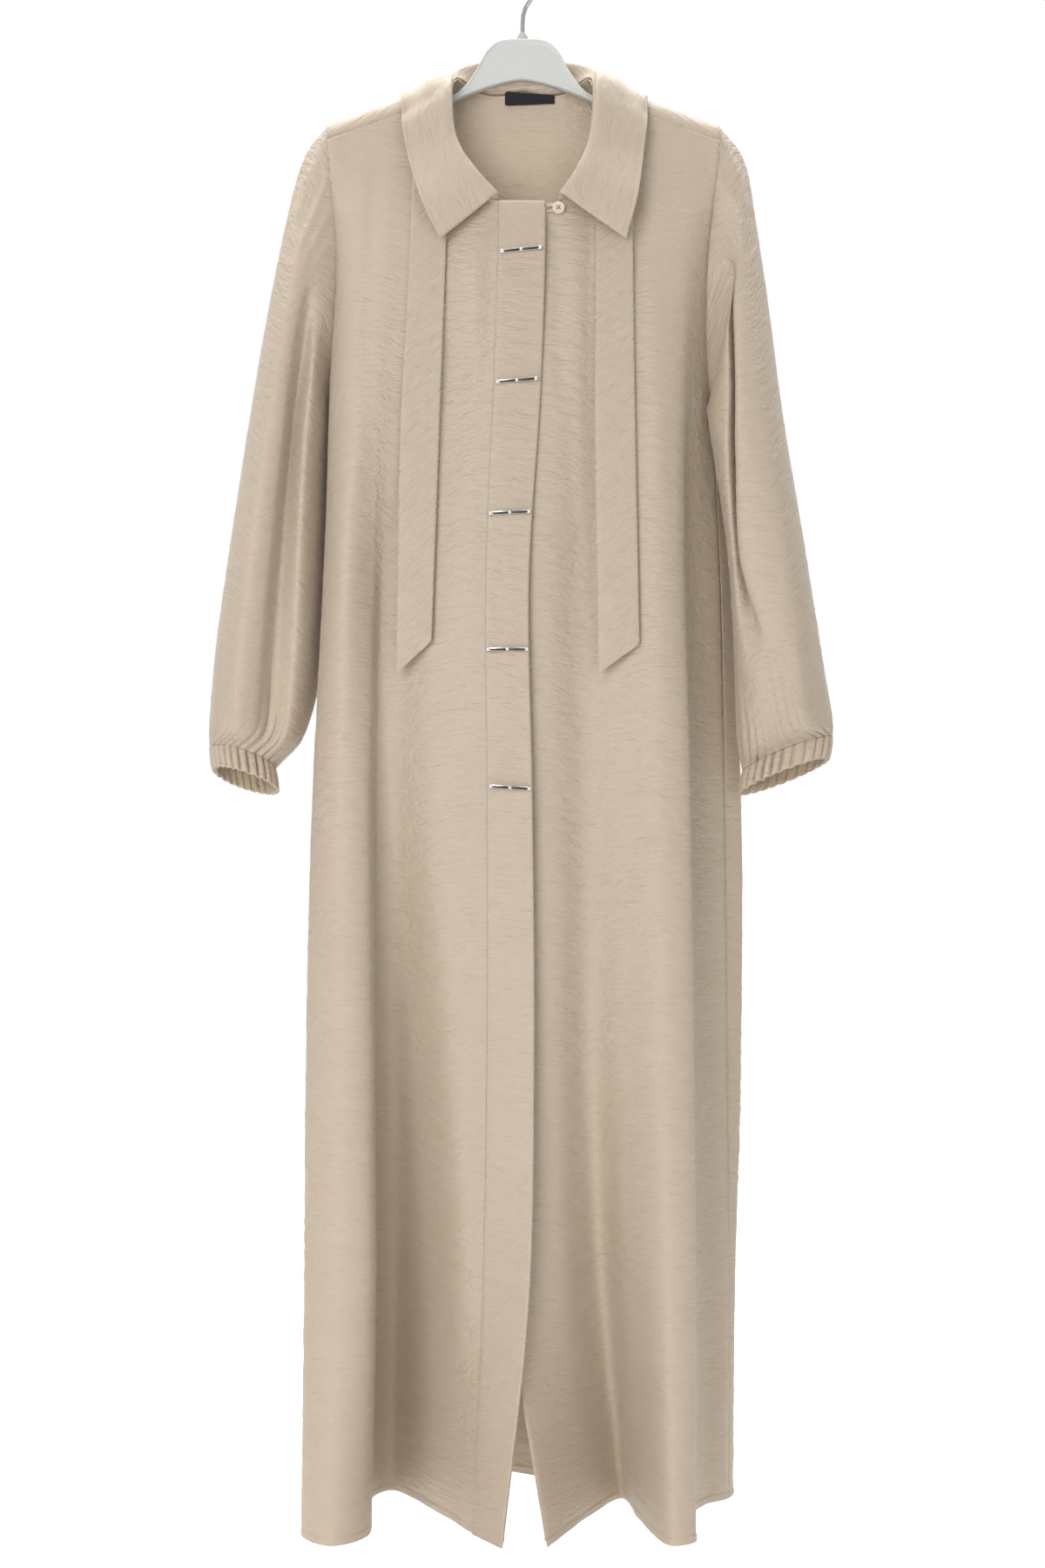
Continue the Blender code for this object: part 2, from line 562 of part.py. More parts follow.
def cleared(point, lift):
    """A point moved straight out until it lies a lift away from the shoulder's section."""
    line = section_line(point[0])
    offset = np.array([point[1], -point[2]]) - line
    nearest = int(np.argmin(np.linalg.norm(offset, axis=1)))
    step = np.gradient(line, axis=0)[nearest]
    out = np.array([step[1], -step[0]]) / np.linalg.norm(step)
    short = max(lift - offset[nearest] @ out, 0)
    return point + short * np.array([0, out[0], -out[1]])


def body_y(x, drop, places):
    """The cloth's depth at x and a drop, read between two places round the body."""
    samples = np.linspace(places[0], places[1], 160)
    ring = body(samples, np.full(160, float(drop)))
    order = np.argsort(ring[:, 0])
    return float(np.interp(x, ring[order, 0], ring[order, 1]))


def tie_grid(rows, end, places):
    """A flat strip that hangs just off the front, with a slanted end."""
    drops = [row[0] for row in rows]
    top = drops[0]
    across = np.linspace(0, 1, 5)
    lines = []
    for k in range(TIE_ROWS + 1):
        share = k / TIE_ROWS
        line = []
        for a in across:
            low = end[0][0] + (end[1][0] - end[0][0]) * a
            drop = top + (low - top) * share
            left, right = table_curve(drops, [row[1:] for row in rows], [drop])[0]
            lift = TIE_LIFT_TOP + (TIE_LIFT_END - TIE_LIFT_TOP) * share
            nearest = min(body_y(left + (right - left) * s, drop, places) for s in (0, 0.5, 1))
            line.append((left + (right - left) * a, nearest - lift, -drop))
        lines.append(line)
    return np.array(lines)


def lifted(grid, distance):
    """A grid moved out along its own normals, towards the front."""
    across = np.gradient(grid, axis=1)
    down = np.gradient(grid, axis=0)
    normal = np.cross(across, down)
    normal /= np.linalg.norm(normal, axis=2, keepdims=True)
    normal *= -np.sign(normal[..., 1:2])
    return grid + normal * distance


def placket_grid(right_front):
    """The band down the right front's free edge, made from that front's points and moved out."""
    return lifted(right_front[:, : BAND_STEPS + 1], LAYER + PLACKET_EASE)


# Turning grids into objects


def pull_edge(grid, side, distance):
    """Draws one edge of a grid back from its seam."""
    edge, inner = {"top": (0, 1), "bottom": (-1, -2)}.get(side, (None, None))
    if edge is not None:
        step = grid[inner] - grid[edge]
        grid[edge] += step / np.linalg.norm(step, axis=1, keepdims=True) * distance
        return
    edge, inner = {"first": (0, 1), "last": (-1, -2)}[side]
    step = grid[:, inner] - grid[:, edge]
    grid[:, edge] += step / np.linalg.norm(step, axis=1, keepdims=True) * distance


def material(name, finish):
    colour, roughness, metallic = finish
    made = bpy.data.materials.new(f"{name} finish")
    made.use_nodes = True
    shader = made.node_tree.nodes["Principled BSDF"]
    shader.inputs["Base Color"].default_value = colour
    shader.inputs["Roughness"].default_value = roughness
    shader.inputs["Metallic"].default_value = metallic
    return made


def add_object(name, data, collection, finish):
    made = bpy.data.objects.new(name, data)
    data.materials.append(material(name, finish))
    collection.objects.link(made)
    return made


def grid_mesh(name, grid, ring=False):
    """A grid primitive whose points are moved onto the given rows, closed into a tube if it is a ring."""
    rows, columns = grid.shape[:2]
    across = columns + 1 if ring else columns
    sheet = bmesh.new()
    bmesh.ops.create_grid(sheet, x_segments=across - 1, y_segments=rows - 1, size=1)
    ordered = sorted(sheet.verts, key=lambda v: (-round(v.co.y, 5), round(v.co.x, 5)))
    for n, vertex in enumerate(ordered):
        vertex.co = grid[n // across, n % across % columns] * MM
    if ring:
        bmesh.ops.remove_doubles(sheet, verts=sheet.verts, dist=0.00001)
    bmesh.ops.recalc_face_normals(sheet, faces=sheet.faces)
    bmesh.ops.triangulate(sheet, faces=sheet.faces, quad_method="SHORT_EDGE")
    mesh = bpy.data.meshes.new(name)
    sheet.to_mesh(mesh)
    sheet.free()
    mesh.shade_smooth()
    return mesh


def cloth(name, grid, collection, finish=SATIN, ring=False):
    made = add_object(name, grid_mesh(name, grid, ring), collection, finish)
    thicken = made.modifiers.new("wall", "SOLIDIFY")
    thicken.thickness = WALL * MM
    thicken.offset = 0
    return made


def build_cloth(collection):
    centre = LAST_PLACE - PLACKET_PLACES
    right = front_grid(*front_columns(0, PLACKET_PLACES, RIGHT_NECK, FRONT_TIP, RIGHT_SEAM))
    left = front_grid(*front_columns(LAST_PLACE, centre, LEFT_NECK, LAST_PLACE - FRONT_TIP, LEFT_SEAM))
    back = back_grid()
    band = placket_grid(right)
    for grid in (right, left):
        pull_edge(grid, "last", SIDE_SEAM_PULL)
        pull_edge(grid, "top", SEAM_GAP + WALL / 2)
    for side in ("first", "last"):
        pull_edge(back, side, SIDE_SEAM_PULL)
    cloth("right_front", right, collection)
    cloth("left_front", left, collection)
    cloth("back", back, collection)
    cloth("placket", band, collection)
    cloth("right_tie", tie_grid(RIGHT_TIE, RIGHT_TIE_END, (0, 5)), collection)
    cloth("left_tie", tie_grid(LEFT_TIE, LEFT_TIE_END, (LAST_PLACE, LAST_PLACE - 4.5)), collection)
    cloth("collar", collar_grid(), collection)
    for side, table, cuff in (("right", RIGHT_SLEEVE, RIGHT_CUFF), ("left", LEFT_SLEEVE, LEFT_CUFF)):
        cloth(f"{side}_sleeve", sleeve_grid(table, side, cuff), collection, ring=True)
        cloth(f"{side}_cuff", cuff_grid(cuff), collection, ring=True)


# Hard pieces


def as_mesh(made):
    """A curve object's evaluated shape as a welded mesh object of the same name."""
    graph = bpy.context.evaluated_depsgraph_get()
    mesh = bpy.data.meshes.new_from_object(made.evaluated_get(graph))
    welded = bmesh.new()
    welded.from_mesh(mesh)
    bmesh.ops.remove_doubles(welded, verts=welded.verts, dist=0.00002)
    bmesh.ops.recalc_face_normals(welded, faces=welded.faces)
    welded.to_mesh(mesh)
    welded.free()
    name, collection = made.name, made.users_collection[0]
    matrix = made.matrix_world.copy()
    bpy.data.objects.remove(made)
    solid = bpy.data.objects.new(name, mesh)
    solid.matrix_world = matrix
    collection.objects.link(solid)
    return solid


def hanger_under(x):
    """The drop of the hanger's lower edge, an arc under the neck and a taper out to the tip."""
    if x < NECK_HALF:
        return HANGER_BAR_MIDDLE + HANGER_BAR_SAG * (x / NECK_HALF) ** 2
    left_of_taper = 1 - (x - NECK_HALF) / (HANGER_TIP - NECK_HALF)
    return shoulder_top(x) + HANGER_BAR_END + HANGER_BAR_TAPER * left_of_taper


def hanger_outline():
    """The hanger's outline as x and drop, from the crest over one tip, underneath, to the other tip."""
    shoulder = [(x, shoulder_top(x) + HANGER_SEAT) for x in np.linspace(NECK_HALF, HANGER_TIP, 8)]
    under = [(x, hanger_under(x)) for x in np.linspace(HANGER_TIP - 5, 0, 14)]
    tip = [(HANGER_TIP + 4, shoulder[-1][1] + 6), (HANGER_TIP + 2, under[0][1] - 2)]
    half = list(HANGER_CREST) + shoulder + tip + under
    return half + [(-x, drop) for x, drop in reversed(half[1:-1])]


def build_hanger(collection):
    outline = bpy.data.curves.new("hanger", "CURVE")
    outline.dimensions = "2D"
    outline.fill_mode = "BOTH"
    outline.extrude = (HANGER_HALF_THICK - HANGER_EDGE_ROUND) * MM
    outline.bevel_depth = HANGER_EDGE_ROUND * MM
    outline.bevel_resolution = 1
    outline.offset = -HANGER_EDGE_ROUND * MM
    points = hanger_outline()
    spline = outline.splines.new("POLY")
    spline.points.add(len(points) - 1)
    for point, (x, drop) in zip(spline.points, points):
        point.co = (x * MM, -drop * MM, 0, 1)
    spline.use_cyclic_u = True
    hanger = add_object("hanger", outline, collection, PALE_PLASTIC)
    hanger.rotation_euler = (math.pi / 2, 0, 0)
    bpy.context.view_layer.update()
    as_mesh(hanger)


def build_hook(collection):
    """A wire hook whose inner top is the origin."""
    wire = HOOK_WIRE / 2
    radius = HOOK_INNER_RADIUS + wire
    middle = -HOOK_INNER_RADIUS
    turns = np.linspace(math.radians(HOOK_OPEN_ANGLE), math.radians(HOOK_TIP_ANGLE), 20)
    arc = [(radius * math.cos(a), middle + radius * math.sin(a)) for a in turns]
    foot = (HOOK_STEM[0][0], HANGER_CREST[0][1] - SEAM_GAP)
    lead = [(x, -drop) for x, drop in (foot,) + HOOK_STEM]
    curve = bpy.data.curves.new("hook", "CURVE")
    curve.dimensions = "3D"
    curve.bevel_depth = wire * MM
    curve.bevel_resolution = 2
    curve.use_fill_caps = True
    spline = curve.splines.new("POLY")
    points = lead + arc
    spline.points.add(len(points) - 1)
    for point, (x, z) in zip(spline.points, points):
        point.co = (x * MM, 0, z * MM, 1)
    add_object("hook", curve, collection, SILVER)


def turned_bar():
    """The half profile of a bar, mirrored end to end, for a Screw modifier to turn about x."""
    half = [(along, radius) for along, radius in BAR_PROFILE]
    points = [(-along, radius) for along, radius in reversed(half)] + half[1:]
    profile = bmesh.new()
    verts = [profile.verts.new((along * MM, 0, radius * MM)) for along, radius in points]
    for first, second in zip(verts, verts[1:]):
        profile.edges.new((first, second))
    mesh = bpy.data.meshes.new("bar")
    profile.to_mesh(mesh)
    profile.free()
    return mesh


def build_bars(collection):
    """Slim metal bars across the placket, each with a knob at both ends."""
    deepest = max(radius for _, radius in BAR_PROFILE)
    for n, (drop, tilt) in enumerate(BARS, 1):
        across = body(np.linspace(0, PLACKET_PLACES, 9), float(drop))
        face = across[:, 1].min() - LAYER - PLACKET_EASE - WALL / 2
        bar = add_object(f"bar_{n}", turned_bar(), collection, SILVER)
        bar.location = (across[4][0] * MM, (face - SEAM_GAP - deepest) * MM, -drop * MM)
        bar.rotation_euler = (0, -tilt, 0)
        turn = bar.modifiers.new("turn", "SCREW")
        turn.axis = "X"
        turn.steps = turn.render_steps = BAR_SIDES
        turn.use_merge_vertices = True
        turn.merge_threshold = 0.00001
        turn.use_normal_calculate = True


def build_button(collection):
    """A four-hole button on the left front and the loop that holds it."""
    radius, thick = BUTTON["radius"] * MM, BUTTON["thick"] * MM
    reach = BUTTON["radius"]
    near = reach * BUTTON_SEAT_SHARE
    corners = [(side, down) for side in (-reach, reach) for down in (-near, near)]
    front = min(
        body_y(BUTTON["x"] + side, BUTTON["drop"] + down, (LAST_PLACE, LEFT_SEAM)) for side, down in corners
    )
    wire_y = front - WALL / 2 - SEAM_GAP - LOOP_WIRE / 2
    back_face = wire_y - LOOP_WIRE / 2 - SEAM_GAP
    disc = bmesh.new()
    bmesh.ops.create_cone(
        disc, cap_ends=True, segments=BUTTON_SIDES, radius1=radius, radius2=radius, depth=thick
    )
    front_rim = [edge for edge in disc.edges if all(vert.co.z > 0 for vert in edge.verts)]
    bmesh.ops.bevel(disc, geom=front_rim, offset=BUTTON["rim"] * MM, segments=2, profile=0.5, affect="EDGES")
    mesh = bpy.data.meshes.new("button")
    disc.to_mesh(mesh)
    disc.free()
    button = add_object("button", mesh, collection, SHELL)
    button.location = (BUTTON["x"] * MM, back_face * MM - thick / 2, -BUTTON["drop"] * MM)
    button.rotation_euler = (math.pi / 2, 0, 0)
    spread = BUTTON["spread"] * MM
    drills = bmesh.new()
    for side_x in (-spread, spread):
        for side_y in (-spread, spread):
            made = bmesh.ops.create_cone(
                drills, cap_ends=True, segments=HOLE_SIDES, depth=thick * 3,
                radius1=BUTTON["hole"] * MM, radius2=BUTTON["hole"] * MM,
            )
            bmesh.ops.translate(drills, verts=made["verts"], vec=(side_x, side_y, 0))
    mesh = bpy.data.meshes.new("button_drills")
    drills.to_mesh(mesh)
    drills.free()
    cutters = bpy.data.collections.new("cutters")
    bpy.context.scene.collection.children.link(cutters)
    cutter = bpy.data.objects.new("button_drills", mesh)
    cutters.objects.link(cutter)
    cutter.location = button.location
    cutter.rotation_euler = button.rotation_euler
    cutter.hide_render = True
    cutter.display_type = "WIRE"
    holes = button.modifiers.new("holes", "BOOLEAN")
    holes.operation = "DIFFERENCE"
    holes.object = cutter
    build_loop(collection, wire_y)


def build_loop(collection, wire_y):
    """A cord loop from the placket's edge round behind the button."""
    edge = body(0.0, BUTTON["drop"])[0]
    turn = BUTTON["spread"] * 2
    start_x = edge[0] + 2 * SEAM_GAP
    turns = np.linspace(math.pi / 2, -math.pi / 2, 7)
    bend = [(BUTTON["x"] + turn * math.cos(a), wire_y, -BUTTON["drop"] + turn * math.sin(a)) for a in turns]
    clear_x = BUTTON["x"] - BUTTON["radius"] - LOOP_WIRE
    ends = [[(start_x, edge[1], -BUTTON["drop"] + rise), (clear_x, wire_y, -BUTTON["drop"] + rise)]
            for rise in (turn, -turn)]
    curve = bpy.data.curves.new("button_loop", "CURVE")
    curve.dimensions = "3D"
    curve.bevel_depth = LOOP_WIRE / 2 * MM
    curve.bevel_resolution = 2
    curve.use_fill_caps = True
    spline = curve.splines.new("POLY")
    points = ends[0] + bend + ends[1][::-1]
    spline.points.add(len(points) - 1)
    for point, place in zip(spline.points, points):
        point.co = (*(value * MM for value in place), 1)
    add_object("button_loop", curve, collection, SATIN)


def build_label(collection):
    """A small bare label on the back's inner side, made from the back's points and moved in."""
    xs = np.linspace(LABEL["left"], LABEL["right"], 7)
    inward = WALL / 2 + SEAM_GAP + LABEL["thick"] / 2
    rows = []
    for down in np.linspace(0, LABEL["height"], 3):
        drops = LABEL["top"] + down + LABEL["slope"] * (xs - xs[0])
        depths = [body_y(x, drop, (RIGHT_SEAM, LEFT_SEAM)) - inward for x, drop in zip(xs, drops)]
        rows.append(np.column_stack([xs, depths, -drops]))
    label = cloth("neck_label", np.array(rows), collection, BLACK_WEAVE)
    label.modifiers["wall"].thickness = LABEL["thick"] * MM


def clear_scene():
    for thing in list(bpy.data.objects):
        bpy.data.objects.remove(thing)


def main():
    clear_scene()
    parts = bpy.data.collections.new("abaya_on_hanger")
    bpy.context.scene.collection.children.link(parts)
    build_cloth(parts)
    build_bars(parts)
    build_button(parts)
    build_label(parts)
    build_hanger(parts)
    build_hook(parts)


main()
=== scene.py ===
"""The looks of a long shirt abaya on a plain hanger: fine cloth shells, finishes, floor, light and camera.

Lengths are millimetres unless a name says otherwise, and MM turns them into metres.
x is to the wearer's left, y is to the back, and a drop is a distance below the hook's seat.
"""

import itertools
import math

import bmesh
import bpy
import numpy as np
from mathutils import Matrix, Vector


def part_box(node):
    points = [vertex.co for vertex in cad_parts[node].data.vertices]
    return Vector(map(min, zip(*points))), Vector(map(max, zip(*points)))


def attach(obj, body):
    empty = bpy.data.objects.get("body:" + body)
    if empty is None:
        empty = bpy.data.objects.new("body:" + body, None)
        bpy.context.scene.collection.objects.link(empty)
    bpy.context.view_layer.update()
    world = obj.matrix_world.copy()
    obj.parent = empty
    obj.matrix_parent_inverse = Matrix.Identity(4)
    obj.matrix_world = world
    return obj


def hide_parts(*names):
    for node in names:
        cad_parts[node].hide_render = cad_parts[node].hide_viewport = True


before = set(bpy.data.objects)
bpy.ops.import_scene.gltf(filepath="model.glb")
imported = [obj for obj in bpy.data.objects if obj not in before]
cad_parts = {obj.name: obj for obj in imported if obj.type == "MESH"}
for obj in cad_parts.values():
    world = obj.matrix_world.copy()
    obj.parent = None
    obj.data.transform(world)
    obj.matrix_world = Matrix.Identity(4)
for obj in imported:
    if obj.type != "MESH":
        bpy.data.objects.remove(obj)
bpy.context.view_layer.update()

MM = 0.001

# Cloth
WALL = 1.2
SEAM_GAP = 0.3
LAYER = WALL + SEAM_GAP
HEM_DROP = 1497
UNDERARM_DROP = 420

# Shoulders and neck
NECK_HALF = 67
NECK_POINT_DROP = 117.6
SHOULDER_FALL = 0.362
SHOULDER_ARCH = 17
ARCH_FRONT_Y = -15
ARCH_LENGTH = 48
FRONT_NECK_DROP = 245
BACK_NECK_DIP = 12

# Places round the body, counted in columns of the tables below
RIGHT_SEAM = 8
LEFT_SEAM = 16
LAST_PLACE = 24
FRONT_TIP = 7
PLACKET_PLACES = 1.0
NECK_LEVEL = 160

# Each row is a level section: its drop, then (x, y) at its free edge, placket seam, ridge, valley,
# valley wall, turn, crest, side and side seam.
RIGHT_FRONT = (
    (160, (21, -32), (-22, -32), (-52, -19), (-80, -15),
     (-110, -15), (-135, -15), (-165, -15), (-188, -15), (-190, 0)),
    (300, (21, -53), (-23, -54), (-50, -52), (-86, -46),
     (-115, -44), (-138, -43), (-160, -38), (-177, -22), (-178, 2)),
    (420, (17, -56), (-27, -57), (-58, -50), (-97, -50),
     (-122, -52), (-138, -54), (-158, -53), (-182, -30), (-182, 4)),
    (600, (6, -61), (-34, -60), (-70, -55), (-116, -38),
     (-133, -38), (-143, -48), (-166, -62), (-189, -28), (-180, 8)),
    (800, (9, -64), (-33, -60), (-84, -53), (-121, -34),
     (-138, -34), (-146, -60), (-171, -67), (-198, -38), (-186, 8)),
    (1050, (11, -67), (-33, -58), (-66, -52), (-122, -4),
     (-139, -14), (-143, -68), (-171, -76), (-203, -50), (-190, 10)),
    (1280, (6, -76), (-37, -54), (-56, -46), (-124, 28),
     (-141, 12), (-142, -76), (-172, -85), (-204, -58), (-193, 12)),
    (1497, (-18, -100), (-46, -60), (-76, -8), (-130, 66),
     (-148, 46), (-146, -68), (-176, -94), (-206, -66), (-197, 15)),
)
# Its drop, then right side, right crest, right dip, middle, left dip, left crest and left side.
BACK = (
    (160, (-188, 13), (-140, 14), (-80, 15), (0, 17), (80, 15), (140, 14), (190, 13)),
    (300, (-181, 14), (-139, 21), (-80, 21), (-2, 23), (78, 21), (138, 21), (185, 14)),
    (420, (-185, 16), (-140, 28), (-82, 27), (-6, 30), (70, 27), (132, 28), (187, 17)),
    (600, (-183, 19), (-142, 36), (-86, 32), (-10, 38), (60, 32), (124, 40), (202, 27)),
    (800, (-190, 22), (-146, 46), (-88, 37), (-14, 47), (54, 36), (124, 50), (213, 30)),
    (1050, (-195, 28), (-150, 64), (-91, 50), (-17, 66), (52, 46), (124, 68), (214, 36)),
    (1280, (-200, 40), (-154, 90), (-94, 74), (-19, 92), (54, 64), (127, 96), (209, 46)),
    (1497, (-204, 52), (-160, 122), (-97, 102), (-20, 124), (56, 88), (131, 130), (207, 66)),
)
# Its drop, then free edge, inner slope, valley, slope, crest, fold edge, behind fold, side and side seam.
LEFT_FRONT = (
    (160, (-24, -26), (28, -27), (58, -17), (95, -15),
     (130, -15), (158, -15), (176, -15), (190, -15), (192, 0)),
    (300, (-24, -46), (30, -48), (65, -46), (100, -44),
     (134, -42), (154, -36), (166, -27), (176, -16), (180, 2)),
    (420, (-28, -51), (30, -54), (62, -49), (98, -52),
     (132, -52), (151, -42), (160, -27), (172, -10), (183, 6)),
    (600, (-30, -53), (24, -55), (56, -46), (92, -52),
     (130, -59), (153, -44), (149, -22), (173, 0), (192, 12)),
    (800, (-28, -54), (28, -53), (60, -42), (95, -50),
     (132, -61), (157, -51), (150, -24), (176, 7), (197, 20)),
    (1050, (-25, -56), (30, -49), (64, -28), (95, -46),
     (135, -66), (160, -56), (153, -26), (178, 13), (200, 26)),
    (1280, (-13, -62), (36, -38), (77, 2), (101, -38),
     (136, -77), (161, -67), (154, -30), (179, 18), (202, 33)),
    (1497, (22, -98), (64, -10), (98, 42), (112, -20),
     (138, -93), (160, -82), (153, -30), (178, 23), (202, 41)),
)

# Each row is one ring of a sleeve: the x and drop of its outer and inner points, then the front's lobe,
# edge, groove and ridge as (share of the way from outer to inner, y), the inner point's y and the back's y.
RIGHT_SLEEVE = (
    ((-210, 194), (-183, 427), (0.26, -24), (0.44, -30), (0.58, -29), (0.76, -25), 2, 27),
    ((-226, 248), (-186, 434), (0.25, -33), (0.42, -37), (0.56, -29), (0.76, -34), 2, 34),
    ((-246, 345), (-184, 452), (0.25, -42), (0.42, -43), (0.55, -27), (0.74, -40), 13, 41),
    ((-263, 445), (-187, 502), (0.27, -48), (0.45, -46), (0.56, -26), (0.75, -42), 15, 45),
    ((-281, 562), (-190, 592), (0.27, -52), (0.45, -48), (0.57, -28), (0.77, -40), 16, 47),
    ((-295, 662), (-195, 682), (0.27, -53), (0.46, -48), (0.59, -29), (0.80, -34), 14, 46),
    ((-300, 728), (-212, 748), (0.28, -45), (0.48, -40), (0.66, -22), (0.86, -24), 6, 38),
)
LEFT_SLEEVE = (
    ((213, 196), (186, 427), (0.25, -25), (0.44, -31), (0.47, -26), (0.66, -26), 2, 27),
    ((224, 250), (178, 433), (0.28, -34), (0.52, -40), (0.49, -24), (0.66, -35), -4, 34),
    ((239, 350), (179, 450), (0.30, -43), (0.63, -49), (0.54, -22), (0.74, -42), -20, 40),
    ((251, 442), (186, 499), (0.32, -49), (0.76, -51), (0.64, -22), (0.88, -43), -22, 44),
    ((270, 556), (198, 592), (0.34, -52), (0.88, -47), (0.76, -28), (0.95, -37), -24, 46),
    ((287, 662), (203, 684), (0.30, -50), (0.58, -51), (0.78, -46), (0.93, -37), -18, 44),
    ((297, 726), (207, 750), (0.30, -42), (0.50, -42), (0.70, -39), (0.88, -30), -6, 34),
)

# A cuff is a tilted oval band: its middle, half widths, tilts and height.
RIGHT_CUFF = {"x": -267, "y": 0, "drop": 792, "across": 30, "deep": 27, "side_tilt": 0.30, "back_tilt": 0.34}
LEFT_CUFF = {"x": 252, "y": 0, "drop": 788, "across": 42, "deep": 20, "side_tilt": -0.38, "back_tilt": 0.34}
CUFF_HEIGHT = 22
CUFF_GATHERS = 25
CUFF_WAVE = 1.7
CUFF_SEAM_GAP = 0.2
GATHER_NARROWNESS = 3
CUFF_PUFF = 1.1
SLEEVE_FOOT_WAVE = 1.5
SLEEVE_WAVE_REACH = 40
# Uneven waves round a cuff: their size, how many go round, and how the seed shifts them
GATHER_UNEVENNESS = ((1.3, 1, 1), (0.9, 2, 2.1), (0.6, 5, 1))
GATHER_DEPTH_CHANGE = ((0.35, 3, 1.7),)
GATHER_REACH_CHANGE = ((0.5, 4, 1),)
GATHER_FLATNESS = 0.3
CAP_FOCUS = 1.5
PUFF_ROUNDNESS = 0.6
CUFF_SEAM_WAVE = 0.75
CAP_GATHERS = 9
CAP_WAVE = 2.8
CAP_SHARE = 0.26
CAP_RISE_SHARE = 0.083
CUFF_LEAN = 0.5
SLEEVE_BACK_ROUND = 0.8
SLEEVE_BACK_SHARES = (0.76, 0.5, 0.18)

# Each row is a station of the collar: the share of the neck seam, then the roll's and the outer
# edge's x, y and drop.
COLLAR = (
    (0.00, (-23, -52, 239), (-77, -61, 284)),
    (0.09, (-43, -50, 217), (-93, -56, 251)),
    (0.19, (-64, -38, 181), (-108, -35, 201)),
    (0.29, (-69, -23, 126), (-115, -21, 157)),
    (0.34, (-67, 6, 107), (-114, 10, 138)),
    (0.42, (-38, 23, 92), (-84, 23, 149)),
    (0.50, (0, 28, 88), (0, 26, 152)),
    (0.58, (40, 23, 92), (86, 23, 149)),
    (0.66, (69, 6, 104), (117, 10, 136)),
    (0.72, (72, -22, 121), (119, -21, 155)),
    (0.81, (65, -38, 180), (114, -36, 202)),
    (0.91, (50, -50, 217), (107, -55, 247)),
    (1.00, (35, -52, 239), (97, -61, 284)),
)
COLLAR_CROWN = 4
COLLAR_LIFT = 5
COLLAR_FOOT_RISE = 2.7
COLLAR_SEAM_INSET = 0.12
COLLAR_CROWN_SHARE = 0.45
COLLAR_EDGE_START = 3.84
COLLAR_EDGE_PLACES = (3.88, 3.91, 3.94, 3.965, 3.985, 4.0)

# Each row is a level of a tie: its drop, then the x of its two edges. The last row is the slanted end.
RIGHT_TIE = ((157, -104, -69), (291, -106, -72), (460, -115, -78), (627, -118, -84))
RIGHT_TIE_END = ((692, -117), (661, -86))
LEFT_TIE = ((157, 69, 104), (274, 69, 104), (460, 68, 106), (627, 70, 109))
LEFT_TIE_END = ((692, 71), (664, 109))
TIE_LIFT_TOP = 2.8
TIE_LIFT_END = 5

PLACKET_EASE = 0.15
PLACKET_WIDTH = 46
PLACKET_ROWS = 420
PLACKET_EDGE = (0, 0.015, 0.03, 0.05, 0.075, 0.11)
PLACKET_COLUMNS = 20
PLACKET_EDGE_COLUMNS = 5
FLY_END_DROP = 1257
FLY_END_SLOPE = 0.1

# Ridges, or grooves where the height is negative: their distance from an edge, half width and height
FOLD_ROUNDING = ((0, 0.7, -0.7),)
PLACKET_SEAM_LINES = ((0, 0.8, -0.95), (2.2, 0.7, -0.35))
PLACKET_PUCKER = ((0, 7, 0.35),)
PUCKER_SIZES = (40, 40, 9)
PUCKER_SEED = 311
FLY_END_LINES = ((0, 2.0, -0.8), (-6, 4, 0.4))
COLLAR_RIM_LINES = ((1.3, 1.0, 0.45), (3.6, 0.9, -0.36))
HEM_LINES = ((7, 1.3, -0.8),)

# Each row is a bar: its drop and its tilt in radians.
BARS = ((293.5, 0.10), (417, 0.08), (541, 0.05), (669, 0.0), (798, -0.06))

# What lies on the bars: sizes across, deep and high, and places along, deep and up
FRAME_SIZE = (37.6, 2.4, 3.4)
FRAME_ROUND = 0.5
FRAME_DEPTH = 1.3
KNOB_RADIUS = 2.25
KNOB_PLACE = 18.2
# The near-black strips on each bar's front are painted reflection: the dark that the polished metal mirrors,
# put on as separate pieces.
REFLECTION_STRIP_SIZE = (14.8, 1.1, 2.1)
REFLECTION_STRIP_PLACE = (8.9, 0.25, -0.4)
REFLECTION_STRIP_ROUND = 0.2
STONES = ((0, 1.25), (-18.2, 1.0), (18.2, 1.0))
STONE_DEPTH = -0.1
BUTTON_RIM = 0.8
RIM_DEPTH = 0.32
THREAD = 0.45
THREAD_REACH = 1.725
THREAD_ABOVE = 0.1
THREAD_SINK = 0.5

# The loop's cord: its route's places across from its start, deep and up, and its turn round the button
CORD = 0.75
LOOP_LEAD = ((-1, 1.5, 1.0), (4, 0.4, 2.2))
LOOP_RETURN = ((4, 0.4, -2.6), (-1, 1.5, -5.0))
LOOP_DEPTH = 1.2
LOOP_TURN = (4.2, 0.8, 3.4)
LOOP_TURN_SHIFT = -1.5
LOOP_STEPS = 120

LABEL_SHIFT = 3
LABEL_RISE = 1.5
LABEL_STAND_OFF = 0.3
LABEL_THICK = 0.5
LABEL_NARROWING = 0.42
LABEL_LEAN = 0.08
LABEL_WAVE = 0.4
LABEL_WAVE_TURN = 5
CURL_SHARE = 0.07
CURL_DEPTH = 1.8
CURL_NARROWING = 0.22

HANGER_HALF_THICK = 6
HANGER_CREST = (
    (0, 77), (14, 77.2), (23, 79), (30, 83.5), (35, 89.5), (39.5, 97.5), (44.5, 107), (51, 117), (59, 126),
    (67, 131), (80, 132), (96, 131.5),
)
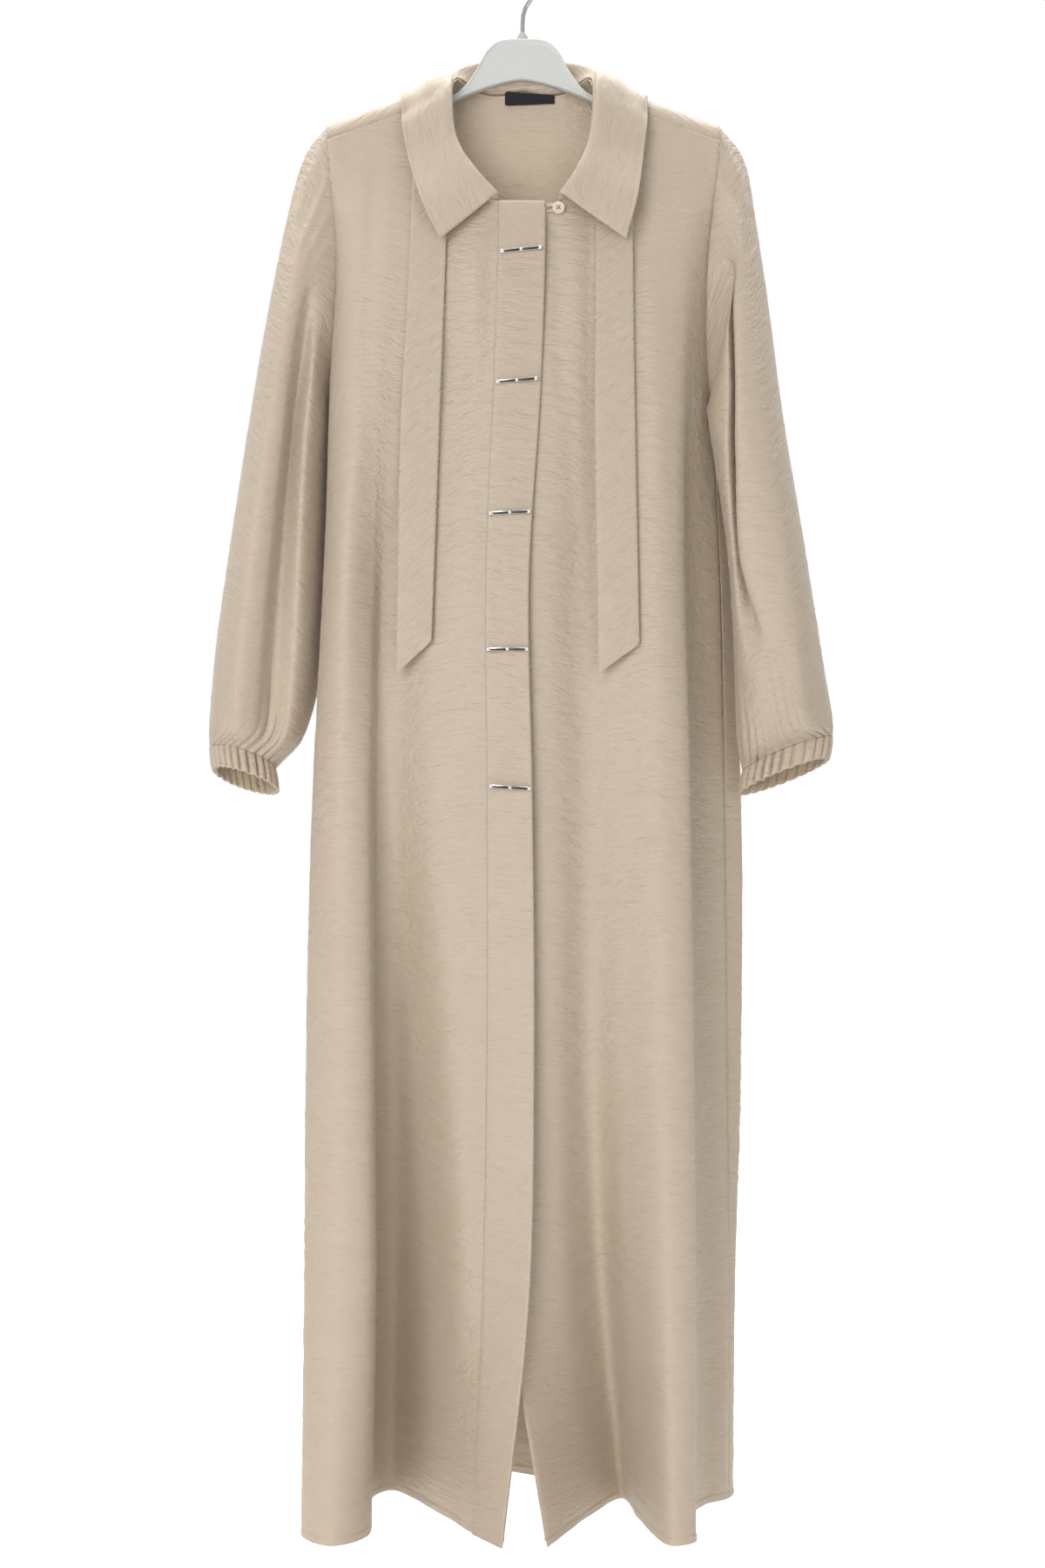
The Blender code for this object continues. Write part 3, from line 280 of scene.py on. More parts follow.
# Points of its section's front half: the share of its thickness, and how far below the top or above the foot
HANGER_FRONT = (
    (0, 0), (0.45, 0.25), (0.8, 0.9), (0.97, 1.8), (1.0, 2.8), (0.97, 3.9), (0.86, 4.6), (0.82, 5.4),
    (0.82, 8),
)
HANGER_FOOT = ((0.82, 5), (0.82, 3.4), (0.9, 2.4), (0.9, 1.6), (0.76, 0.7), (0.4, 0.15), (0, 0))
HANGER_TIP = 178
HANGER_BAR_MIDDLE = 117.5
HANGER_BAR_SAG = 20.5
HANGER_SAG_POWER = 1.5
HANGER_BAR_END = 17
HANGER_BAR_TAPER = 4
HANGER_SEAT = 2.1
HANGER_CROWN_HALF = 70
HANGER_ARM_START = 74
HANGER_ARM_STEPS = 27
HANGER_TIP_ROUND = 8
HOOK_COLLAR_DEPTH = -1
HOOK_COLLAR_ENDS = (-0.5, 8)
HOOK_COLLAR_RADII = (6.5, 0.6)
HOOK_COLLAR_FLATNESS = 0.5

# Fineness of the cloth shells, in steps
BAND_STEPS = 11
NECK_STEPS = 20
FRONT_SHOULDER_STEPS = 32
ARMHOLE_STEPS = 18
FRONT_ROWS = 530
FRONT_SPREAD_ROWS = 110
HEM_ROWS = 14
HEM_ROWS_SHARE = 0.011
EVEN_DROP = 1280
BACK_NECK_STEPS = 28
BACK_SHOULDER_STEPS = 26
ARCH_ROWS = 14
AFTER_ARCH_ROWS = 8
AFTER_ARCH = 30
BESIDE_ARM_ROWS = 110
SKIRT_ROWS = 430
SPREAD_ROWS = 30
SLEEVE_COLUMNS = 144
SLEEVE_ROWS = 260
CUFF_COLUMNS = 288
CUFF_ROWS = 12
COLLAR_STEPS = 110
COLLAR_ROWS = 26
TIE_COLUMNS = 18
TIE_ROWS = 300

CLOTH = 0.6
DOUBLE_CLOTH = 1.1
SLEEVE_CLEARANCE = -0.5

# Each row is one layer of raised crinkles: their length and thickness, how far they lean, their height,
# and the size of the patches that they come and go in.
CRINKLES = (
    (44, 10, 0.10, 0.36, 120),
    (30, 7, -0.16, 0.28, 90),
    (80, 15, 0.45, 0.50, 190),
    (26, 9, 0.55, 0.52, 110),
    (34, 10, -0.45, 0.42, 130),
)
CALM_YOKE_DROP = 250
FULL_CRINKLE_DROP = 1150
YOKE_STRENGTH = 0.6
CRINKLE_SHARPNESS = 0.2
CRINKLE_COVER = 0.35
CALM_ROWS = 6
CALM_COLUMNS = 2
NOISE_KNOTS = 8192
NOISE_STRIDES = (73856093, 19349663, 83492791)

# Each row is a ridge or trough: the x and drop of its two ends, its half width and its height.
CREASE_FADE = 0.25
RIGHT_FRONT_CREASES = (
    ((-30, 300), (-38, 560), 5, -1.6),
    ((-44, 260), (-52, 620), 6, 1.5),
    ((-68, 330), (-80, 760), 8, -1.6),
    ((-94, 250), (-104, 640), 9, 1.4),
    ((-140, 200), (-150, 430), 8, -1.5),
)
LEFT_FRONT_CREASES = (
    ((31, 250), (35, 430), 5, -1.2),
    ((47, 250), (56, 540), 8, 1.4),
    ((63, 250), (66, 620), 5, -1.3),
    ((120, 220), (126, 520), 8, 1.4),
)
BACK_CREASES = (
    ((-110, 200), (-124, 640), 9, -1.8),
    ((-40, 190), (-52, 760), 8, 2.0),
    ((30, 200), (22, 620), 9, -1.8),
    ((96, 200), (108, 700), 8, 1.8),
)

HEM_TURN = 7
HEM_TURNED_HEIGHT = 0.48
HEM_ROPE_HEIGHT = 0.56
HEM_ROPE_SIZES = (11, 11, 40)

# Each row is a noise on the satin: knots to a metre across and up, its turn in degrees, detail, roughness.
FINE_CRINKLE = ((60, 200), 11, 2, 0.5)
CROSSING_CRINKLE = ((42, 120), -14, 2, 0.5)
SLUB = ((60, 1100), 0, 1, 0.5)
BLOTCH = ((14, 26), 0, 3, 0.6)
CRINKLE_HEIGHT = 1.2
SLUB_HEIGHT = 0.06
BUMP_DEPTH = 0.0018
SATIN_DEEP = (0.545, 0.442, 0.332, 1)
SATIN_PALE = (0.585, 0.492, 0.39, 1)
SATIN_THROUGH = (0.80, 0.70, 0.55, 1)
SATIN_THIN = 0.27
SATIN_SHEEN = {
    "Roughness": 0.56, "Specular IOR Level": 0.9, "Sheen Weight": 0.32, "Sheen Roughness": 0.45,
}

# Each row is a plain finish: its colour, roughness, metallic value and coat.
FINISHES = {
    "polished bar": ((0.78, 0.76, 0.73), 0.16, 1.0, 0.0),
    # Near-black finish of the bars' front strips: a painted dark reflection of the polished metal.
    "painted dark reflection": ((0.012, 0.01, 0.008), 0.35, 0.0, 0.0),
    "clear stone": ((0.92, 0.93, 0.95), 0.05, 1.0, 0.0),
    "pearly button": ((0.66, 0.55, 0.42), 0.2, 0.0, 0.6),
    # Dark brown thread: real thread on the button, dark enough to also serve as painted shade in its holes.
    "dark thread and hole shade": ((0.20, 0.13, 0.07), 0.7, 0.0, 0.0),
    "satin cord": (SATIN_PALE[:3], 0.5, 0.0, 0.0),
    "black ribbon": ((0.006, 0.006, 0.009), 0.85, 0.0, 0.0),
    "pale moulding": ((0.53, 0.54, 0.515), 0.38, 0.0, 0.0),
    "plated wire": ((0.7, 0.7, 0.7), 0.2, 1.0, 0.0),
    "pale floor": ((0.92, 0.92, 0.92), 0.9, 0.0, 0.0),
}

HEM_SEED_STEP = 2

# The studio, in metres and watts
FLOOR_REACH = 3
FLOOR_HEIGHT = -1.6
CAMERA_PLACE = (0, -2.1, -0.795)
LENS = 50
SENSOR_HEIGHT = 36
DOME_LIGHT = 0.43
# Each row is a lamp: its name, place, aim, size and power.
SOFTBOXES = (
    ("key softbox", (-1.25, -2.8, -0.3), (0, 0, -0.8), (1.7, 2.2), 58),
    ("fill softbox", (1.2, -2.8, -0.4), (0, 0, -0.8), (1.4, 2.0), 12),
    ("back softbox", (0, 1.7, -0.5), (0, 0, -0.7), (2.4, 2.4), 14),
    ("background light", (0, 0.9, 1.4), (0, 2.4, -1.6), (4.0, 2.4), 150),
)


# Curves and sections


def table_curve(knots, rows, at, level_start=False):
    """Smooth values read from table rows at each place in at, straight beyond the first and last row."""
    knots = np.asarray(knots, float)
    rows = np.asarray(rows, float)
    at = np.asarray(at, float)
    step = np.diff(knots).reshape((-1,) + (1,) * (rows.ndim - 1))
    rise = np.diff(rows, axis=0) / step
    inner = (rise[:-1] * step[1:] + rise[1:] * step[:-1]) / (step[:-1] + step[1:])
    slope = np.concatenate([rise[:1] * (not level_start), inner, rise[-1:]])
    i = np.clip(np.searchsorted(knots, at) - 1, 0, len(knots) - 2)
    wide = (-1,) + (1,) * (rows.ndim - 1)
    gap = (knots[i + 1] - knots[i]).reshape(wide)
    f = np.clip((at - knots[i]) / (knots[i + 1] - knots[i]), 0, 1).reshape(wide)
    past = (at - np.clip(at, knots[0], knots[-1])).reshape(wide)
    ends = np.where(past < 0, slope[0], slope[-1])
    return hermite(rows[i], rows[i + 1], slope[i] * gap, slope[i + 1] * gap, f) + past * ends


def hermite(start, end, start_pull, end_pull, f):
    return (
        start * (1 + 2 * f) * (1 - f) ** 2
        + end * f**2 * (3 - 2 * f)
        + start_pull * f * (1 - f) ** 2
        - end_pull * f**2 * (1 - f)
    )


def through(points, place):
    """A smooth curve through each row of points, read at a place counted in points."""
    gap = np.linalg.norm(np.diff(points, axis=1), axis=2)[..., None] ** 0.5
    rise = np.diff(points, axis=1) / gap
    inner = (rise[:, :-1] * gap[:, 1:] + rise[:, 1:] * gap[:, :-1]) / (gap[:, :-1] + gap[:, 1:])
    slope = np.concatenate([rise[:, :1], inner, rise[:, -1:]], axis=1)
    i = np.clip(np.floor(place).astype(int), 0, points.shape[1] - 2)
    row = np.arange(len(points))
    f = (place - i)[:, None]
    pull = gap[row, i]
    return hermite(points[row, i], points[row, i + 1], slope[row, i] * pull, slope[row, i + 1] * pull, f)


def lengths(line):
    """The length along a line at each of its points."""
    return np.concatenate([[0], np.cumsum(np.linalg.norm(np.diff(line, axis=0), axis=1))])


def read_line(line, length, at):
    return np.column_stack([np.interp(at, length, line[:, k]) for k in range(3)])


def above_edge(grid):
    """How far each point is from the last row, along the cloth."""
    step = np.linalg.norm(np.diff(grid, axis=0), axis=2)
    return np.concatenate([np.cumsum(step[::-1], axis=0)[::-1], np.zeros((1, grid.shape[1]))])


def eased(share):
    share = np.clip(share, 0, 1)
    return share * share * (3 - 2 * share)


def ridges(distance, rows):
    """The height of soft ridges that run along an edge, at a distance from it."""
    return sum(height * np.exp(-(((distance - place) / width) ** 2)) for place, width, height in rows)


def ring_through(points, place):
    """The same round a closed ring, where the place runs from 0 to the number of points."""
    wrapped = np.concatenate([points[:, -2:], points, points[:, :3]], axis=1)
    return through(wrapped, np.mod(place, points.shape[1]) + 2)


DROPS = [row[0] for row in BACK]
SECTIONS = [
    list(right[1:]) + list(back[1:]) + list(reversed(left[1:]))
    for right, back, left in zip(RIGHT_FRONT, BACK, LEFT_FRONT)
]


def body(place, drop):
    """The cloth's middle at a place round the body and a drop, as x, y, z, upright above the neck level."""
    place, drop = np.broadcast_arrays(np.asarray(place, float), np.asarray(drop, float))
    level = table_curve(DROPS, SECTIONS, np.maximum(drop.ravel(), NECK_LEVEL), level_start=True)
    flat = through(level, place.ravel())
    return np.column_stack([flat, -drop.ravel()])


def shoulder_top(x):
    """The drop of the shoulder's top line."""
    return NECK_POINT_DROP + SHOULDER_FALL * (np.abs(x) - NECK_HALF)


def shoulder_seam(place):
    """The drop of the forward shoulder seam, which is the foot of the arch over the hanger."""
    return shoulder_top(body(place, NECK_LEVEL)[:, 0]) + SHOULDER_ARCH


def neck_place(start, end):
    """The place between start and end where the body is NECK_HALF from the middle."""
    places = np.linspace(start, end, 200)
    x = np.abs(body(places, NECK_LEVEL)[:, 0])
    order = np.argsort(x)
    return float(np.interp(NECK_HALF, x[order], places[order]))


RIGHT_NECK = neck_place(1, 4)
LEFT_NECK = neck_place(23, 20)
BACK_RIGHT_NECK = neck_place(11.9, 10)
BACK_LEFT_NECK = neck_place(12.1, 14)


# Panel outlines


def quarter(steps):
    return np.linspace(0, math.pi / 2, steps + 1)


def front_neck(start, neck, steps):
    """Places and drops along a front's neck seam, from the placket to the shoulder."""
    curve = quarter(steps)
    drops = FRONT_NECK_DROP + (shoulder_seam(neck)[0] - FRONT_NECK_DROP) * (1 - np.cos(curve))
    return start + (neck - start) * np.sin(curve), drops


def front_columns(free_edge, centre, neck, tip, seam):
    """Places along a front's top from its free edge to its side seam, with the drop of the top edge."""
    band = np.linspace(free_edge, centre, BAND_STEPS + 1)[:-1]
    neck_places, neck_drops = front_neck(centre, neck, NECK_STEPS)
    shoulder = np.linspace(neck, tip, FRONT_SHOULDER_STEPS + 1)[1:]
    arm = quarter(ARMHOLE_STEPS)[1:]
    arm_places = tip + (seam - tip) * (1 - np.cos(arm))
    tip_drop = shoulder_seam(tip)[0]
    arm_drops = tip_drop + (UNDERARM_DROP - tip_drop) * np.sin(arm)
    band_drops = np.full(len(band), FRONT_NECK_DROP)
    places = np.concatenate([band, neck_places, shoulder, arm_places])
    drops = np.concatenate([band_drops, neck_drops, shoulder_seam(shoulder), arm_drops])
    return places, drops


def front_grid(places, tops):
    """Rows from the top edge to the hem."""
    rows = shares_to_hem(FRONT_ROWS)[:, None]
    drop = tops[None, :] + rows * (HEM_DROP - tops[None, :])
    spread = eased(np.arange(FRONT_ROWS + 1)[:, None] / FRONT_SPREAD_ROWS)
    place = places + (even_places(places) - places) * spread
    return body(place, drop).reshape(FRONT_ROWS + 1, len(places), 3)


def even_places(places):
    """As many places, kept in the placket's band and evenly spaced along the cloth beside it."""
    fine = np.linspace(places[BAND_STEPS], places[-1], 400)
    line = body(fine, np.full(len(fine), float(EVEN_DROP)))
    length = lengths(line)
    target = np.linspace(0, length[-1], len(places) - BAND_STEPS)
    return np.concatenate([places[:BAND_STEPS], np.interp(target, length, fine)])


def over_shoulder(place, reach):
    """The back panel at a reach down from the arch's foot, where a negative reach runs over the arch."""
    x, back_y, _ = body(place, shoulder_seam(place)).T
    foot = shoulder_seam(place)
    turn = np.clip(-reach / ARCH_LENGTH, 0, 1) * math.pi
    middle = (back_y + ARCH_FRONT_Y) / 2
    y = middle + (back_y - middle) * np.cos(turn)
    arch = np.column_stack([x, y, -(foot - SHOULDER_ARCH * np.sin(turn))])
    below = body(place, foot + np.maximum(reach, 0))
    return np.where((reach < 0)[:, None], arch, below)


def back_neck(sweep):
    """Places and reaches along the back's neck seam, where the sweep runs from -1 to 1."""
    middle = (BACK_RIGHT_NECK + BACK_LEFT_NECK) / 2
    half = (BACK_LEFT_NECK - BACK_RIGHT_NECK) / 2
    turn = np.asarray(sweep) * math.pi / 2
    return middle + half * np.sin(turn), BACK_NECK_DIP - (ARCH_LENGTH + BACK_NECK_DIP) * (1 - np.cos(turn))


def back_grid():
    """Rows over the shoulders and down to the hem, whose ends follow the armholes and the side seams."""
    right_tip, left_tip = RIGHT_SEAM + 1, LEFT_SEAM - 1
    neck, neck_reach = back_neck(np.linspace(-1, 1, BACK_NECK_STEPS + 1))
    right = np.linspace(right_tip, BACK_RIGHT_NECK, BACK_SHOULDER_STEPS + 1)[:-1]
    left = np.linspace(BACK_LEFT_NECK, left_tip, BACK_SHOULDER_STEPS + 1)[1:]
    tops = np.concatenate([right, neck, left])
    shoulder = np.full(BACK_SHOULDER_STEPS, -float(ARCH_LENGTH))
    starts = np.concatenate([shoulder, neck_reach, shoulder])
    top_shares = (tops - right_tip) / (left_tip - right_tip)
    even_shares = np.linspace(0, 1, len(tops))
    foot = shoulder_seam(tops)
    arch = np.linspace(-ARCH_LENGTH, 0, ARCH_ROWS + 1)
    after = np.linspace(0, AFTER_ARCH, AFTER_ARCH_ROWS + 1)[1:]
    upper = [starts + (AFTER_ARCH - starts) * (r + ARCH_LENGTH) / (AFTER_ARCH + ARCH_LENGTH)
             for r in np.concatenate([arch, after])]
    beside_arm = [AFTER_ARCH + (UNDERARM_DROP - foot - AFTER_ARCH) * math.sin(angle)
                  for angle in quarter(BESIDE_ARM_ROWS)[1:]]
    lower = [UNDERARM_DROP - foot + (HEM_DROP - UNDERARM_DROP) * fall
             for fall in shares_to_hem(SKIRT_ROWS)[1:]]
    lower = beside_arm + lower
    spread = np.clip((np.arange(len(upper + lower)) - ARCH_ROWS) / SPREAD_ROWS, 0, 1)
    rows = []
    for reach, even in zip(upper + lower, spread):
        first = armhole_place(right_tip, RIGHT_SEAM, foot[0] + reach[0])
        last = armhole_place(left_tip, LEFT_SEAM, foot[-1] + reach[-1])
        places = first + (last - first) * (top_shares + (even_shares - top_shares) * even)
        rows.append(over_shoulder(places, foot + reach - shoulder_seam(places)))
    return np.array(rows)


def shares_to_hem(rows):
    """Shares of the way down to the hem, closer together at its end."""
    above_hem = np.linspace(0, 1 - HEM_ROWS_SHARE, rows + 1 - HEM_ROWS)
    return np.concatenate([above_hem, np.linspace(1 - HEM_ROWS_SHARE, 1, HEM_ROWS + 1)[1:]])


def armhole_place(tip, seam, drop):
    """Where the armhole lies at a drop, from the shoulder's tip to the side seam."""
    tip_drop = shoulder_seam(tip)[0]
    rise = min(max((drop - tip_drop) / (UNDERARM_DROP - tip_drop), 0), 1)
    return tip + (seam - tip) * (1 - math.sqrt(1 - rise**2))


# Sleeves and cuffs


def armhole(side):
    """The armhole's closed loop from the shoulder's top, down the front, and up the back."""
    if side == "right":
        tip, seam, back_tip = FRONT_TIP, RIGHT_SEAM, RIGHT_SEAM + 1
    else:
        tip, seam, back_tip = LAST_PLACE - FRONT_TIP, LEFT_SEAM, LEFT_SEAM - 1
    arm = quarter(24)
    down = shoulder_seam(tip)[0]
    front = body(tip + (seam - tip) * (1 - np.cos(arm)), down + (UNDERARM_DROP - down) * np.sin(arm))
    down = shoulder_seam(back_tip)[0]
    back = body(seam + (back_tip - seam) * np.sin(arm), down + (UNDERARM_DROP - down) * np.cos(arm))
    reach = -np.linspace(0, ARCH_LENGTH, 25)
    arch = over_shoulder(np.full(25, float(back_tip)), reach)
    loop = np.concatenate([arch[12:], front[1:], back[1:], arch[1:12]])
    return loop, len(arch[12:]) + len(front) - 2


def even_loop(loop, low, shares):
    """Points on the loop at shares, where 0.5 is its low point."""
    closed = np.concatenate([loop, loop[:1]])
    length = lengths(closed)
    at = np.interp(shares, [0, 0.5, 1], [0, length[low], length[-1]])
    return read_line(closed, length, at)


def sleeve_rings(table):
    """The landmarks of each ring, from the outer point round the front to the inner point and the back."""
    rings = []
    for outer, inner, lobe, edge, groove, ridge, inner_y, back_y in table:
        near_back = back_y * SLEEVE_BACK_ROUND
        front = ((0, 0), lobe, edge, groove, ridge)
        behind = ((1, inner_y), *zip(SLEEVE_BACK_SHARES, (near_back, back_y, near_back)))
        start = np.array([outer[0], 0, -outer[1]], float)
        across = np.array([inner[0], 0, -inner[1]], float) - start
        rings.append([start + share * across + np.array([0, y, 0]) for share, y in front + behind])
    return np.array(rings)


def cuff_ring(cuff, share, angle, wave):
    """A cuff's oval at a share of its height, from 0 at its seam to 1 at its opening, waved outwards."""
    outer = -1 if cuff["x"] < 0 else 1
    dx = outer * (cuff["across"] + wave) * np.cos(angle)
    dy = -(cuff["deep"] + wave) * np.sin(angle)
    tilt = cuff["side_tilt"] * dx + cuff["back_tilt"] * dy
    lift = CUFF_HEIGHT * (1 - share)
    x = cuff["x"] + dx - lift * cuff["side_tilt"] * CUFF_LEAN
    y = cuff["y"] + dy + lift * cuff["back_tilt"] * CUFF_LEAN
    return np.column_stack([x, y, -(cuff["drop"] + tilt - lift)])


def waves(angle, seed, rows):
    return sum(size * np.sin(turns * angle + shift * seed) for size, turns, shift in rows)


def gather_wave(angle, seed):
    """Uneven gathers round a cuff, from -1 to 1: narrow grooves between wider puffs."""
    valley = (1 - np.cos(CUFF_GATHERS * angle + waves(angle, seed, GATHER_UNEVENNESS))) / 2
    depth = 1 + waves(angle, seed, GATHER_DEPTH_CHANGE)
    return 1 - 2 * depth * valley**GATHER_NARROWNESS


def sleeve_grid(table, side, cuff):
    """Rings from the armhole to the cuff, with the cuff's gathers fading upwards."""
    shares = np.arange(SLEEVE_COLUMNS + 1) / SLEEVE_COLUMNS
    angle = shares * 2 * math.pi
    loop, low = armhole(side)
    sideways = np.array([-1.0 if side == "right" else 1.0, 0, 0])
    first = even_loop(loop, low, np.mod(shares, 1)) + sideways * SLEEVE_CLEARANCE
    landmarks = sleeve_rings(table)
    places = np.interp(shares, [0, 0.5, 1], [0, 5, 9])
    middle = [ring_through(np.repeat(ring[None], len(shares), axis=0), places) for ring in landmarks]
    last = cuff_ring(cuff, 0, angle, 0)
    last[:, 2] += CUFF_SEAM_GAP
    rings = np.array([first] + middle + [last])
    steps = np.linspace(0, len(rings) - 1, SLEEVE_ROWS + 1)
    stations = np.arange(len(rings))
    grid = table_curve(stations, rings, steps)
    return add_gathers(grid, angle, steps / (len(rings) - 1), cuff)


def add_gathers(grid, angle, down, cuff):
    """Waves across a sleeve: the cuff's gathers at its foot and a few at the top of its cap."""
    away = grid - grid.mean(axis=1, keepdims=True)
    away[..., 2] *= GATHER_FLATNESS
    away /= np.linalg.norm(away, axis=2, keepdims=True)
    from_cuff = np.linalg.norm(grid - grid[-1:], axis=2)
    reach = SLEEVE_WAVE_REACH * (1 + waves(angle, cuff["drop"], GATHER_REACH_CHANGE))
    at_foot = np.exp(-((from_cuff / reach) ** 2))
    down = down[:, None]
    at_cap = np.clip(1 - down / CAP_SHARE, 0, 1) * np.clip(down / CAP_RISE_SHARE, 0, 1)
    near_shoulder = np.clip(np.cos(angle), 0, 1) ** CAP_FOCUS
    wave = SLEEVE_FOOT_WAVE * at_foot * gather_wave(angle, cuff["drop"])
    wave += CAP_WAVE * at_cap * near_shoulder * np.cos(2 * CAP_GATHERS * angle)
    return grid + away * wave[..., None]


def cuff_grid(cuff):
    angle = np.arange(CUFF_COLUMNS + 1) / CUFF_COLUMNS * 2 * math.pi
    wave = CUFF_WAVE * gather_wave(angle, cuff["drop"])
    puffed = 0.5 + 0.5 * wave / CUFF_WAVE
    rings = []
    for share in np.linspace(0, 1, CUFF_ROWS + 1):
        swell = CUFF_PUFF * puffed * math.sin(math.pi * share) ** PUFF_ROUNDNESS
        opened = CUFF_SEAM_WAVE + (1 - CUFF_SEAM_WAVE) * share
        rings.append(cuff_ring(cuff, share, angle, wave * opened + swell))
    return np.array(rings)


# Collar, ties and placket


def neck_seam():
    """The neck seam from the right front's placket, round the back, to the left front, as one line."""
    edge = PLACKET_PLACES + COLLAR_SEAM_INSET
    front_right = body(*front_neck(edge, RIGHT_NECK, 24))
    front_left = body(*front_neck(LAST_PLACE - edge, LEFT_NECK, 24))[::-1]
    back = over_shoulder(*back_neck(np.linspace(-1, 1, 61)))
    return np.concatenate([front_right, back[1:-1], front_left])


def collar_grid():
    """Lines from the neck seam up to the roll and down to the outer edge."""
    along = [row[0] for row in COLLAR]
    shares = np.linspace(0, 1, COLLAR_STEPS + 1)
    roll = table_curve(along, [row[1] for row in COLLAR], shares) * (1, 1, -1)
    edge = table_curve(along, [row[2] for row in COLLAR], shares) * (1, 1, -1)
    seam = neck_seam()
    length = lengths(seam)
    seam = read_line(seam, length, shares * length[-1])
    to_edge = np.linspace(0, COLLAR_EDGE_START, COLLAR_ROWS + 1 - len(COLLAR_EDGE_PLACES))
    places = np.concatenate([to_edge, COLLAR_EDGE_PLACES])
    lifts = COLLAR_LIFT * np.clip((places - 2) * 2, 0, 1)
    lines = []
    for foot, top, low in zip(seam, roll, edge):
        rise = top - foot
        start = foot + rise / np.linalg.norm(rise) * COLLAR_FOOT_RISE
        crown = cleared(top + (low - top) * COLLAR_CROWN_SHARE, COLLAR_LIFT + COLLAR_CROWN)
        control = np.array([[start, (start + top) / 2, top, crown, low]])
        line = through(np.repeat(control, len(places), axis=0), places)
        lines.append([cleared(point, lift) if lift else point for point, lift in zip(line, lifts)])
    return np.array(lines).swapaxes(0, 1)


SECTIONS_ACROSS = {}


def section_line(x):
    """The garment's section across the shoulder at x as (y, drop): up the front, over, and down the back."""
    key = round(x)
    if key not in SECTIONS_ACROSS:
        front = (0, RIGHT_SEAM) if x < 0 else (LAST_PLACE, LEFT_SEAM)
        foot = shoulder_top(key) + SHOULDER_ARCH
        rising = [(body_y(key, drop, front), drop) for drop in np.linspace(foot + 180, foot, 19)]
        back = (RIGHT_SEAM, LEFT_SEAM)
        falling = [(body_y(key, drop, back), drop) for drop in np.linspace(foot, foot + 90, 10)]
        middle = (rising[-1][0] + falling[0][0]) / 2
        half = falling[0][0] - middle
        arch = [
            (middle - half * math.cos(turn), foot - SHOULDER_ARCH * math.sin(turn))
            for turn in np.linspace(0, math.pi, 13)[1:-1]
        ]
        SECTIONS_ACROSS[key] = np.array(rising + arch + falling)
    return SECTIONS_ACROSS[key]


def cleared(point, lift):
    """A point moved straight out until it lies a lift away from the shoulder's section."""
    line = section_line(point[0])
    offset = np.array([point[1], -point[2]]) - line
    nearest = int(np.argmin(np.linalg.norm(offset, axis=1)))
    step = np.gradient(line, axis=0)[nearest]
    out = np.array([step[1], -step[0]]) / np.linalg.norm(step)
    short = max(lift - offset[nearest] @ out, 0)
    return point + short * np.array([0, out[0], -out[1]])


def body_y(x, drop, places):
    """The cloth's depth at x and a drop, read between two places round the body."""
    samples = np.linspace(places[0], places[1], 160)
    ring = body(samples, np.full(160, float(drop)))
    order = np.argsort(ring[:, 0])
    return float(np.interp(x, ring[order, 0], ring[order, 1]))


def tie_grid(rows, end, places):
    """A flat strip that hangs just off the front, with a slanted end."""
    drops = [row[0] for row in rows]
    top = drops[0]
    lines = []
    for share in np.linspace(0, 1, TIE_ROWS + 1):
        line = []
        for a in np.linspace(0, 1, TIE_COLUMNS + 1):
            low = end[0][0] + (end[1][0] - end[0][0]) * a
            drop = top + (low - top) * share
            left, right = table_curve(drops, [row[1:] for row in rows], [drop])[0]
            line.append((left, right, drop, left + (right - left) * a))
        middle = line[TIE_COLUMNS // 2]
        left, right = middle[:2]
        nearest = min(body_y(left + (right - left) * s, middle[2], places) for s in (0, 0.5, 1))
        lift = TIE_LIFT_TOP + (TIE_LIFT_END - TIE_LIFT_TOP) * share
        lines.append([(x, nearest - lift, -drop) for _, _, drop, x in line])
    return np.array(lines)


def lifted(grid, distance):
    """A grid moved out along its own normals, towards the front."""
    normal = facing(grid)
    normal *= -np.sign(normal[..., 1:2])
    return grid + normal * np.asarray(distance)[..., None]


def placket_grid():
    """The placket from its folded edge to its stitched seam, lying on the right front."""
    edge = np.array(PLACKET_EDGE)
    middle = np.linspace(edge[-1], 1, PLACKET_COLUMNS)[1:-PLACKET_EDGE_COLUMNS]
    across = np.concatenate([edge, middle, 1 - edge[::-1]])
    drops = np.linspace(FRONT_NECK_DROP, HEM_DROP, PLACKET_ROWS + 1)
    place, drop = np.meshgrid(across * PLACKET_PLACES, drops)
    band = body(place, drop).reshape(len(drops), len(across), 3)
    from_fold = across * PLACKET_WIDTH
    from_seam = PLACKET_WIDTH - from_fold
    height = LAYER + PLACKET_EASE + ridges(from_fold, FOLD_ROUNDING) + ridges(from_seam, PLACKET_SEAM_LINES)
    pucker = soft_noise(band, PUCKER_SIZES, PUCKER_SEED) * ridges(from_seam, PLACKET_PUCKER)
    end = drop - FLY_END_DROP - from_fold * FLY_END_SLOPE
    return lifted(band, height + pucker + ridges(end, FLY_END_LINES))


def rimmed(grid):
    """A collar whose two layers turn over along its outer edge and stand a little proud there."""
    return grid + outward(grid) * ridges(above_edge(grid), COLLAR_RIM_LINES)[..., None]


def facing(grid):
    """The unit normals of a grid."""
    normal = np.cross(np.gradient(grid, axis=1), np.gradient(grid, axis=0))
    return normal / np.linalg.norm(normal, axis=2, keepdims=True)


# Creases and crinkles


